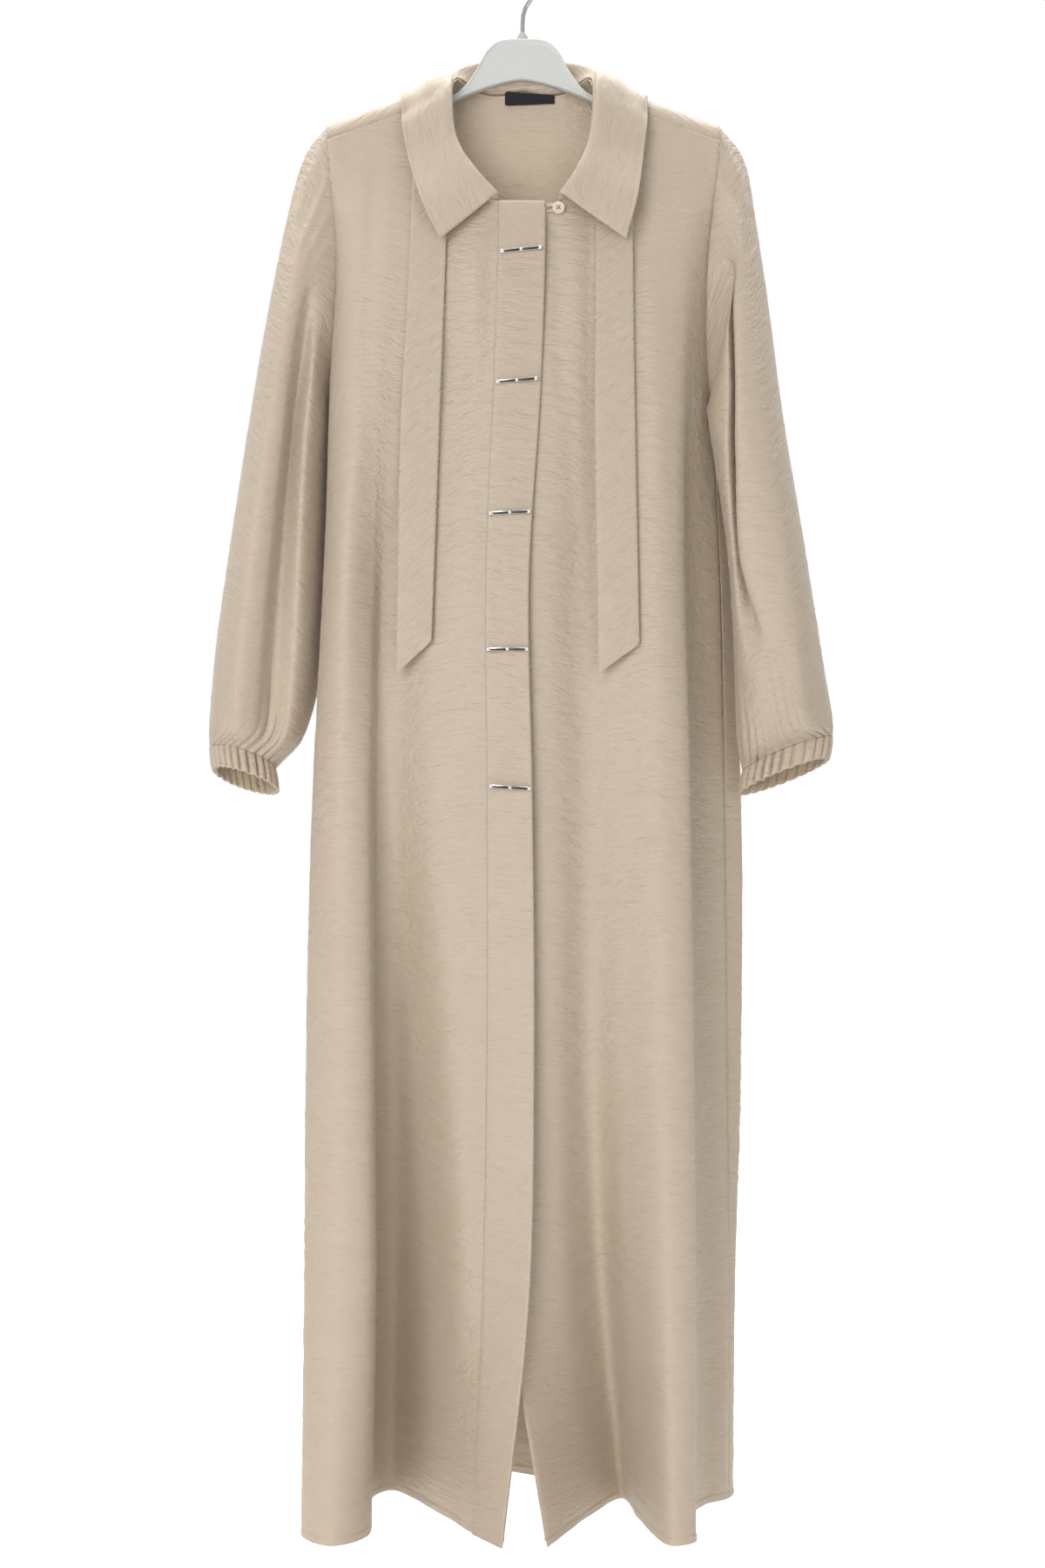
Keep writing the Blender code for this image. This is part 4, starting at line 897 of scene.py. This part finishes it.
def soft_noise(points, sizes, seed):
    """Smooth random heights from -1 to 1, with a knot at each size along x, y and z."""
    heights = np.random.default_rng(seed).uniform(-1, 1, NOISE_KNOTS)
    place = points / np.asarray(sizes, float)
    knot = np.floor(place).astype(np.int64)
    share = eased(place - knot)
    total = np.zeros(points.shape[:-1])
    for corner in itertools.product((0, 1), repeat=3):
        index = ((knot + corner) * NOISE_STRIDES).sum(axis=-1) % NOISE_KNOTS
        total += heights[index] * np.where(corner, share, 1 - share).prod(axis=-1)
    return total


def outward(grid, ring=False):
    """The unit normals of a grid, all pointing away from the inside of the body or the sleeve."""
    normal = facing(grid)
    if ring:
        middle = grid.mean(axis=1, keepdims=True)
    else:
        middle = grid * (0, 0, 1)
    return normal * np.sign((normal * (grid - middle)).sum())


def calm_edges(grid, ring):
    """A share that falls to nothing at the top edge and, on a flat piece, at both sides, for clean seams."""
    rows, columns = grid.shape[:2]
    calm = np.repeat(eased(np.arange(rows) / CALM_ROWS)[:, None], columns, axis=1)
    if not ring:
        side = np.minimum(np.arange(columns), np.arange(columns)[::-1])
        calm = calm * eased(side / CALM_COLUMNS)
    return calm


def crinkled(grid, seed, strength=1.0, ring=False):
    """A grid with the satin's crosswise crinkles raised on it."""
    height = np.zeros(grid.shape[:2])
    for n, (length, thickness, lean, rise, patch) in enumerate(CRINKLES):
        leaning = grid + (grid[..., :1] * lean) * (0, 0, 1)
        line = soft_noise(leaning, (length, length, thickness), seed + 10 * n)
        patches = soft_noise(leaning, (patch, patch, patch / 2), seed + 10 * n + 1)
        amount = np.clip(patches + CRINKLE_COVER, 0, 1)
        height += rise * amount * np.exp(-((line / CRINKLE_SHARPNESS) ** 2))
    lower = eased((-grid[..., 2] - CALM_YOKE_DROP) / (FULL_CRINKLE_DROP - CALM_YOKE_DROP))
    height *= strength * (YOKE_STRENGTH + (1 - YOKE_STRENGTH) * lower)
    return grid + outward(grid, ring) * (height * calm_edges(grid, ring))[..., None]


def creased(grid, creases, ring=False):
    """A grid with soft ridges, or troughs where the height is negative, along listed lines."""
    x, drop = grid[..., 0], -grid[..., 2]
    height = np.zeros(grid.shape[:2])
    for (start_x, start_drop), (end_x, end_drop), width, rise in creases:
        run = np.array([end_x - start_x, end_drop - start_drop], float)
        along = ((x - start_x) * run[0] + (drop - start_drop) * run[1]) / (run @ run)
        held = np.clip(along, 0, 1)
        off = np.hypot(x - start_x - held * run[0], drop - start_drop - held * run[1])
        fade = np.minimum(along, 1 - along) / CREASE_FADE + 0.5
        height += rise * np.exp(-((off / width) ** 2)) * eased(fade)
    return grid + outward(grid, ring) * (height * calm_edges(grid, ring))[..., None]


def hemmed(grid, seed):
    """A grid whose last millimetres are turned up: a groove at the stitching and a slightly roped edge."""
    above = above_edge(grid)
    rope = soft_noise(grid, HEM_ROPE_SIZES, seed) * HEM_ROPE_HEIGHT
    turned = (above < HEM_TURN) * (HEM_TURNED_HEIGHT + rope)
    return grid + outward(grid) * (ridges(above, HEM_LINES) + turned)[..., None]


# Turning grids into cloth


def cut_places(grid):
    """Each point's place on the flat cloth, in metres across it and up from its foot."""
    across = lengths(grid[len(grid) // 2])
    up = above_edge(grid)
    return np.dstack([np.broadcast_to(across, up.shape), up]) * MM


def sheet_mesh(name, grid, ring=False):
    """A grid primitive moved onto the rows, with a UV map of the flat cloth."""
    rows, columns = grid.shape[:2]
    sheet = bmesh.new()
    bmesh.ops.create_grid(sheet, x_segments=columns - 1, y_segments=rows - 1, size=1)
    mesh = bpy.data.meshes.new(name)
    sheet.to_mesh(mesh)
    sheet.free()
    flat = np.empty(rows * columns * 3)
    mesh.vertices.foreach_get("co", flat)
    flat = flat.reshape(-1, 3).round(5)
    order = np.lexsort((flat[:, 0], -flat[:, 1]))
    mine = np.empty(len(order), int)
    mine[order] = np.arange(len(order))
    mesh.vertices.foreach_set("co", (grid.reshape(-1, 3)[mine] * MM).ravel())
    corners = np.empty(len(mesh.loops), int)
    mesh.loops.foreach_get("vertex_index", corners)
    cut = mesh.uv_layers.new(name="cut")
    cut.uv.foreach_set("vector", cut_places(grid).reshape(-1, 2)[mine][corners].ravel())
    sheet = bmesh.new()
    sheet.from_mesh(mesh)
    if ring:
        bmesh.ops.remove_doubles(sheet, verts=sheet.verts, dist=0.000001)
    bmesh.ops.recalc_face_normals(sheet, faces=sheet.faces)
    sheet.to_mesh(mesh)
    sheet.free()
    mesh.shade_smooth()
    return mesh


def add_piece(name, mesh, finish, slot, *nodes):
    piece = bpy.data.objects.new(name, mesh)
    bpy.context.scene.collection.objects.link(piece)
    mesh.materials.append(finish)
    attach(piece, "root")
    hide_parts(*nodes)
    return piece


def add_wall(piece, thick):
    wall = piece.modifiers.new("wall", "SOLIDIFY")
    wall.thickness = thick * MM
    wall.offset = 0


def cloth_piece(node, grid, finish, thick=CLOTH, ring=False):
    """A cloth shell that stands for its solid."""
    piece = add_piece(f"{node}_cloth", sheet_mesh(node, grid, ring), finish, "crinkled_satin", node)
    add_wall(piece, thick)
    return piece


def finish_node(node, finish):
    """A CAD node that shows as it is, in its finish."""
    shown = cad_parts[node]
    shown.data.materials.clear()
    shown.data.materials.append(finish)


# Bars, button, label and hanger


def finished_mesh(name, shape, smooth=True):
    bmesh.ops.recalc_face_normals(shape, faces=shape.faces)
    mesh = bpy.data.meshes.new(name)
    shape.to_mesh(mesh)
    shape.free()
    if smooth:
        mesh.shade_smooth()
    return mesh


def box_middle(low, high):
    return [(a + b) / 2 for a, b in zip(low, high)]


def bar_front(n):
    """The middle of a bar's front face, and the turn that leans with it."""
    low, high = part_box(f"bar_{n}")
    middle = Vector(((low[0] + high[0]) / 2, low[1], -BARS[n - 1][0] * MM))
    return Matrix.Translation(middle) @ Matrix.Rotation(-BARS[n - 1][1], 4, "Y")


def bar_frame(n, finish):
    """A bar's slim frame with a round knob at each end."""
    shape = bmesh.new()
    made = bmesh.ops.create_cube(shape, size=1)
    bmesh.ops.scale(shape, verts=made["verts"], vec=np.array(FRAME_SIZE) * MM)
    bmesh.ops.bevel(
        shape, geom=shape.edges[:], offset=FRAME_ROUND * MM, segments=3, profile=0.5,
        affect="EDGES", material=-1,
    )
    for side in (-1, 1):
        made = bmesh.ops.create_uvsphere(shape, u_segments=24, v_segments=12, radius=KNOB_RADIUS * MM)
        bmesh.ops.translate(shape, verts=made["verts"], vec=(side * KNOB_PLACE * MM, 0, 0))
    place = bar_front(n) @ Matrix.Translation((0, FRAME_DEPTH * MM, 0))
    bmesh.ops.transform(shape, matrix=place, verts=shape.verts)
    mesh = finished_mesh(f"bar_{n} frame", shape)
    add_piece(f"bar_{n}_frame", mesh, finish, "polished_bar", f"bar_{n}")


def bar_reflection_strips(n, finish):
    """Two near-black strips on the front of a bar, one on each side of its middle stone: a painted dark
    reflection of the polished metal.
    """
    shape = bmesh.new()
    for side in (-1, 1):
        made = bmesh.ops.create_cube(shape, size=1)
        bmesh.ops.scale(shape, verts=made["verts"], vec=np.array(REFLECTION_STRIP_SIZE) * MM)
        place = np.array((side * REFLECTION_STRIP_PLACE[0], *REFLECTION_STRIP_PLACE[1:])) * MM
        bmesh.ops.translate(shape, verts=made["verts"], vec=place)
    bmesh.ops.bevel(
        shape, geom=shape.edges[:], offset=REFLECTION_STRIP_ROUND * MM, segments=2, profile=0.5,
        affect="EDGES", material=-1,
    )
    bmesh.ops.transform(shape, matrix=bar_front(n), verts=shape.verts)
    add_piece(f"bar_{n}_reflection_strips", finished_mesh(f"bar_{n}_reflection_strips", shape), finish, "polished_bar")


def bar_stones(n, finish):
    """Three small cut stones: one in the middle of a bar and one at each end."""
    shape = bmesh.new()
    for along, radius in STONES:
        made = bmesh.ops.create_icosphere(shape, subdivisions=2, radius=radius * MM)
        bmesh.ops.translate(shape, verts=made["verts"], vec=Vector((along, STONE_DEPTH, 0)) * MM)
    bmesh.ops.transform(shape, matrix=bar_front(n), verts=shape.verts)
    mesh = finished_mesh(f"bar_{n}_stones", shape, smooth=False)
    add_piece(f"bar_{n}_stones", mesh, finish, "polished_bar")


def button_rim(finish):
    """The button's raised rim, spun round its middle."""
    low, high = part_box("button")
    shape = bmesh.new()
    ring = bmesh.ops.create_circle(shape, segments=12, radius=BUTTON_RIM * MM)
    upright = Matrix.Rotation(math.pi / 2, 4, "X")
    place = Matrix.Translation(((high[0] - low[0]) / 2 - BUTTON_RIM * MM, 0, 0)) @ upright
    bmesh.ops.transform(shape, matrix=place, verts=ring["verts"])
    bmesh.ops.spin(
        shape, geom=shape.verts[:] + shape.edges[:], axis=(0, 0, 1), cent=(0, 0, 0), dvec=(0, 0, 0),
        angle=2 * math.pi, steps=40, use_merge=True, use_normal_flip=False, use_duplicate=False,
    )
    x, _, z = box_middle(low, high)
    turn = Matrix.Translation((x, low[1] + RIM_DEPTH * MM, z)) @ upright
    bmesh.ops.transform(shape, matrix=turn, verts=shape.verts)
    add_piece("button_rim", finished_mesh("button rim", shape), finish, "pearly_button")


def button_thread_and_hole_shade(finish):
    """Two turns of thread that cross between the button's four holes, dark brown so that they also stand for
    painted shade in the holes.
    """
    low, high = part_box("button")
    x, _, z = box_middle(low, high)
    middle = np.array([x, low[1], z]) / MM
    shape = bmesh.new()
    for side in (-1, 1):
        path = [
            middle + (t * THREAD_REACH, THREAD_SINK * t * t - THREAD_ABOVE, side * t * THREAD_REACH)
            for t in np.linspace(-1, 1, 9)
        ]
        part = sheet_mesh("thread", tube_grid(path, [THREAD] * 9, 10), ring=True)
        shape.from_mesh(part)
        bpy.data.meshes.remove(part)
    add_piece("button_thread_and_hole_shade", finished_mesh("thread", shape), finish, "pearly_button")


def loop_cords(finish):
    """The loop's two strands, from the placket's corner round the foot of the button."""
    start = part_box("button_loop")[0][0]
    low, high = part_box("button")
    x, _, z = box_middle(low, high)
    lead = np.array([start, low[1] + LOOP_DEPTH * MM, z]) / MM
    across, deep, high_up = LOOP_TURN
    reach = (x - start) / MM + LOOP_TURN_SHIFT
    turn = [(reach + across * math.sin(a), deep, high_up * math.cos(a)) for a in np.linspace(0, math.pi, 13)]
    path = lead + np.array([*LOOP_LEAD, *turn, *LOOP_RETURN])
    places = np.linspace(0, len(path) - 1, LOOP_STEPS)
    smooth = through(np.repeat(path[None], LOOP_STEPS, axis=0), places)
    mesh = sheet_mesh("loop cords", tube_grid(smooth, [CORD] * LOOP_STEPS, 12), ring=True)
    add_piece("loop_cords", mesh, finish, "crinkled_satin", "button_loop")


def label_ribbon(finish):
    """The bare neck label, folded round at its left end and narrower to the right."""
    low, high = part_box("neck_label")
    tall, middle = high[2] - low[2], (low[2] + high[2]) / 2
    shape = bmesh.new()
    bmesh.ops.create_grid(shape, x_segments=48, y_segments=10, size=0.5)
    for vertex in shape.verts:
        along, up = vertex.co.x + 0.5, vertex.co.y
        curl = max(0.0, 1 - along / CURL_SHARE)
        half = tall / 2 * (1.0 - LABEL_NARROWING * along) * (1 - CURL_NARROWING * curl**2)
        wave = LABEL_WAVE * math.sin(LABEL_WAVE_TURN * along)
        vertex.co = (
            low[0] - LABEL_SHIFT * MM + (high[0] - low[0]) * along,
            low[1] + (LABEL_STAND_OFF + CURL_DEPTH * curl**2 + wave) * MM,
            middle + LABEL_RISE * MM + tall * LABEL_LEAN * (0.5 - along) + 2 * up * half,
        )
    mesh = finished_mesh("neck label", shape)
    piece = add_piece("neck_label_ribbon", mesh, finish, "black_label", "neck_label")
    add_wall(piece, LABEL_THICK)


def hanger_top(x):
    """The drop of the hanger's upper edge: its rounded crown, then its shoulder."""
    rows = np.array(HANGER_CREST, float)
    places = np.linspace(0, len(rows) - 1, 200)
    crest = through(np.repeat(rows[None], 200, axis=0), places)
    crown = np.interp(abs(x), crest[:, 0], crest[:, 1])
    return float(crown) if abs(x) < HANGER_CREST[-1][0] else shoulder_top(x) + HANGER_SEAT


def hanger_under(x):
    """The drop of the hanger's lower edge, an arc under the neck and a taper out to the tip."""
    if x < NECK_HALF:
        return HANGER_BAR_MIDDLE + HANGER_BAR_SAG * (x / NECK_HALF) ** HANGER_SAG_POWER
    left_of_taper = 1 - (x - NECK_HALF) / (HANGER_TIP - NECK_HALF)
    return shoulder_top(x) + HANGER_BAR_END + HANGER_BAR_TAPER * left_of_taper


def hanger_section(top, under, thick):
    """A rounded section with a bead along its upper edge, as depth and drop, from the top round the front."""
    tall = under - top
    front = [(share * thick, top + min(fall, tall / 2)) for share, fall in HANGER_FRONT]
    foot = [(share * thick, under - min(fall, tall / 2)) for share, fall in HANGER_FOOT]
    back = [(-depth, drop) for depth, drop in reversed(front[1:] + foot[:-1])]
    return np.array(front + foot + back)


def moulded_hanger(finish):
    """The hanger's body: one section after another along its length, drawn in to a closed tip at each end."""
    crown = np.arange(HANGER_CROWN_HALF + 1.0)
    half = np.concatenate([crown, np.linspace(HANGER_ARM_START, HANGER_TIP, HANGER_ARM_STEPS)])
    rings = []
    for x in np.concatenate([-half[:0:-1], half]):
        ring = hanger_section(hanger_top(x), hanger_under(abs(x)), -HANGER_HALF_THICK)
        rings.append(np.column_stack([np.full(len(ring), x), ring[:, 0], -ring[:, 1]]))
    first, last = rings[0], rings[-1]
    for end, side in ((first, -1), (last, 1)):
        middle = end.mean(axis=0)
        caps = [
            middle + (end - middle) * math.cos(a) + (side * HANGER_TIP_ROUND * math.sin(a), 0, 0)
            for a in quarter(8)[1:]
        ]
        rings = rings + caps if side > 0 else caps[::-1] + rings
    grid = np.array(rings)
    grid = np.concatenate([grid, grid[:, :1]], axis=1)
    mesh = sheet_mesh("hanger", grid, ring=True)
    add_piece("moulded_hanger", mesh, finish, "hanger_plastic", "hanger")
    ends = [(0, HOOK_COLLAR_DEPTH, rise - HANGER_CREST[0][1]) for rise in HOOK_COLLAR_ENDS]
    spike = tube_grid(ends, HOOK_COLLAR_RADII, 24)
    spike[..., 1] = (spike[..., 1] - HOOK_COLLAR_DEPTH) * HOOK_COLLAR_FLATNESS + HOOK_COLLAR_DEPTH
    add_piece("hook_collar", sheet_mesh("hook collar", spike, ring=True), finish, "hanger_plastic")


def tube_grid(path, radii, sides):
    """A round tube along a path, closed to a point at both ends."""
    path = np.array(path, float)
    path = np.concatenate([path[:1], path, path[-1:]])
    radii = np.array([0, *radii, 0])
    along = np.gradient(path, axis=0)
    along = along / np.linalg.norm(along, axis=1, keepdims=True)
    side = np.cross(along, (0, 1, 0.01))
    side = side / np.linalg.norm(side, axis=1, keepdims=True)
    up = np.cross(along, side)
    turn = np.arange(sides + 1) / sides * 2 * math.pi
    around = side[:, None] * np.cos(turn)[:, None] + up[:, None] * np.sin(turn)[:, None]
    return path[:, None] + around * radii[:, None, None]


# Finishes


def new_material(name):
    made = bpy.data.materials.new(name)
    made.use_nodes = True
    tree = made.node_tree
    return made, tree, tree.nodes["Principled BSDF"]


def noise_layer(tree, place, scale, turn, detail, roughness):
    """Noise on the flat cloth, stretched across it and turned a little."""
    mapping = tree.nodes.new("ShaderNodeMapping")
    mapping.inputs["Scale"].default_value = (scale[0], scale[1], 1)
    mapping.inputs["Rotation"].default_value = (0, 0, math.radians(turn))
    noise = tree.nodes.new("ShaderNodeTexNoise")
    noise.inputs["Scale"].default_value = 1
    noise.inputs["Detail"].default_value = detail
    noise.inputs["Roughness"].default_value = roughness
    tree.links.new(place, mapping.inputs["Vector"])
    tree.links.new(mapping.outputs["Vector"], noise.inputs["Vector"])
    return noise.outputs["Fac"]


def maths(tree, operation, first, second):
    node = tree.nodes.new("ShaderNodeMath")
    node.operation = operation
    for socket, value in zip(node.inputs, (first, second)):
        if isinstance(value, (int, float)):
            socket.default_value = value
        else:
            tree.links.new(value, socket)
    return node.outputs["Value"]


def crinkled_satin():
    """Beige satin: a soft sheen, fine crosswise crinkles and light that comes through a single layer."""
    made, tree, shader = new_material("crinkled satin")
    cut = tree.nodes.new("ShaderNodeUVMap")
    cut.uv_map = "cut"
    place = cut.outputs["UV"]
    fine = noise_layer(tree, place, *FINE_CRINKLE)
    crossing = noise_layer(tree, place, *CROSSING_CRINKLE)
    slub = noise_layer(tree, place, *SLUB)
    folded = maths(tree, "ABSOLUTE", maths(tree, "SUBTRACT", fine, 0.5), 0)
    sharp = maths(tree, "MULTIPLY", folded, -CRINKLE_HEIGHT)
    height = maths(tree, "ADD", sharp, maths(tree, "MULTIPLY", crossing, CRINKLE_HEIGHT))
    height = maths(tree, "ADD", height, maths(tree, "MULTIPLY", slub, SLUB_HEIGHT))
    bump = tree.nodes.new("ShaderNodeBump")
    bump.inputs["Strength"].default_value = 1.0
    bump.inputs["Distance"].default_value = BUMP_DEPTH
    tree.links.new(height, bump.inputs["Height"])
    tint = tree.nodes.new("ShaderNodeMix")
    tint.data_type = "RGBA"
    tint.inputs["A"].default_value = SATIN_DEEP
    tint.inputs["B"].default_value = SATIN_PALE
    tree.links.new(noise_layer(tree, place, *BLOTCH), tint.inputs["Factor"])
    tree.links.new(tint.outputs["Result"], shader.inputs["Base Color"])
    tree.links.new(bump.outputs["Normal"], shader.inputs["Normal"])
    for socket, value in SATIN_SHEEN.items():
        shader.inputs[socket].default_value = value
    glow = tree.nodes.new("ShaderNodeBsdfTranslucent")
    glow.inputs["Color"].default_value = SATIN_THROUGH
    tree.links.new(bump.outputs["Normal"], glow.inputs["Normal"])
    blend = tree.nodes.new("ShaderNodeMixShader")
    blend.inputs["Fac"].default_value = SATIN_THIN
    output = tree.nodes["Material Output"]
    tree.links.new(shader.outputs["BSDF"], blend.inputs[1])
    tree.links.new(glow.outputs["BSDF"], blend.inputs[2])
    tree.links.new(blend.outputs["Shader"], output.inputs["Surface"])
    return made


def plain_finish(name):
    colour, roughness, metallic, coat = FINISHES[name]
    made, _, shader = new_material(name)
    shader.inputs["Base Color"].default_value = (*colour, 1)
    shader.inputs["Roughness"].default_value = roughness
    shader.inputs["Metallic"].default_value = metallic
    shader.inputs["Coat Weight"].default_value = coat
    return made


# Floor, light and camera


def softbox(name, place, aim, size, power):
    data = bpy.data.lights.new(name, "AREA")
    data.shape = "RECTANGLE"
    data.size, data.size_y = size
    data.energy = power
    lamp = bpy.data.objects.new(name, data)
    lamp.location = place
    lamp.rotation_euler = (Vector(aim) - Vector(place)).to_track_quat("-Z", "Y").to_euler()
    lamp.visible_camera = False
    bpy.context.scene.collection.objects.link(lamp)


def set_stage():
    floor_sheet = bmesh.new()
    bmesh.ops.create_grid(floor_sheet, x_segments=1, y_segments=1, size=FLOOR_REACH)
    bmesh.ops.translate(floor_sheet, verts=floor_sheet.verts, vec=(0, 0, FLOOR_HEIGHT))
    mesh = bpy.data.meshes.new("floor")
    floor_sheet.to_mesh(mesh)
    floor_sheet.free()
    floor = bpy.data.objects.new("floor", mesh)
    bpy.context.scene.collection.objects.link(floor)
    mesh.materials.append(plain_finish("pale floor"))
    world = bpy.data.worlds.new("studio")
    world.use_nodes = True
    tree = world.node_tree
    seen = tree.nodes.new("ShaderNodeLightPath")
    strength = tree.nodes.new("ShaderNodeMapRange")
    strength.inputs["To Min"].default_value = DOME_LIGHT
    strength.inputs["To Max"].default_value = 1.0
    tree.links.new(seen.outputs["Is Camera Ray"], strength.inputs["Value"])
    tree.links.new(strength.outputs["Result"], tree.nodes["Background"].inputs["Strength"])
    tree.nodes["Background"].inputs["Color"].default_value = (1, 1, 1, 1)
    bpy.context.scene.world = world
    for name, place, aim, size, power in SOFTBOXES:
        softbox(name, place, aim, size, power)
    bpy.context.scene.view_settings.view_transform = "Standard"


def set_camera():
    view = bpy.data.cameras.new("photo view")
    view.sensor_fit = "VERTICAL"
    view.sensor_height = SENSOR_HEIGHT
    view.lens = LENS
    camera = bpy.data.objects.new("photo view", view)
    camera.location = CAMERA_PLACE
    camera.rotation_euler = (math.pi / 2, 0, 0)
    bpy.context.scene.collection.objects.link(camera)
    bpy.context.scene.camera = camera


def hung_panel(grid, creases, seed):
    return hemmed(crinkled(creased(grid, creases), seed), seed + HEM_SEED_STEP)


def sew_panels(satin):
    centre = LAST_PLACE - PLACKET_PLACES
    right = front_grid(*front_columns(0, PLACKET_PLACES, RIGHT_NECK, FRONT_TIP, RIGHT_SEAM))
    left = front_grid(*front_columns(LAST_PLACE, centre, LEFT_NECK, LAST_PLACE - FRONT_TIP, LEFT_SEAM))
    right = hung_panel(right, RIGHT_FRONT_CREASES, seed=3)
    left = hung_panel(left, LEFT_FRONT_CREASES, seed=103)
    back = hung_panel(back_grid(), BACK_CREASES, seed=203)
    cloth_piece("right_front", right, satin)
    cloth_piece("left_front", left, satin)
    cloth_piece("back", back, satin)


def sew_trims(satin):
    placket = crinkled(placket_grid(), seed=303, strength=0.7)
    cloth_piece("placket", placket, satin, DOUBLE_CLOTH)
    right_tie = crinkled(tie_grid(RIGHT_TIE, RIGHT_TIE_END, (0, 5)), seed=403, strength=1.1)
    cloth_piece("right_tie", right_tie, satin, DOUBLE_CLOTH)
    left_tie = tie_grid(LEFT_TIE, LEFT_TIE_END, (LAST_PLACE, LAST_PLACE - 4.5))
    left_tie = crinkled(left_tie, seed=503, strength=1.1)
    cloth_piece("left_tie", left_tie, satin, DOUBLE_CLOTH)
    collar = crinkled(rimmed(collar_grid()), seed=603, strength=0.7)
    cloth_piece("collar", collar, satin, DOUBLE_CLOTH)


def sew_sleeves(satin):
    for side, table, cuff in (("right", RIGHT_SLEEVE, RIGHT_CUFF), ("left", LEFT_SLEEVE, LEFT_CUFF)):
        sleeve = crinkled(sleeve_grid(table, side, cuff), cuff["drop"], ring=True)
        cloth_piece(f"{side}_sleeve", sleeve, satin, ring=True)
        cloth_piece(f"{side}_cuff", cuff_grid(cuff), satin, DOUBLE_CLOTH, ring=True)


def add_bars():
    silver = plain_finish("polished bar")
    # The bars' near-black front strips are a painted dark reflection.
    dark_reflection = plain_finish("painted dark reflection")
    crystal = plain_finish("clear stone")
    for n in range(1, len(BARS) + 1):
        bar_frame(n, silver)
        bar_reflection_strips(n, dark_reflection)
        bar_stones(n, crystal)


def add_small_pieces():
    pearl = plain_finish("pearly button")
    finish_node("button", pearl)
    button_rim(pearl)
    # The thread's dark colour doubles as painted shade in the button's holes.
    button_thread_and_hole_shade(plain_finish("dark thread and hole shade"))
    loop_cords(plain_finish("satin cord"))
    label_ribbon(plain_finish("black ribbon"))
    moulded_hanger(plain_finish("pale moulding"))
    finish_node("hook", plain_finish("plated wire"))


def dress():
    satin = crinkled_satin()
    sew_panels(satin)
    sew_trims(satin)
    sew_sleeves(satin)
    add_bars()
    add_small_pieces()


dress()
set_stage()
set_camera()
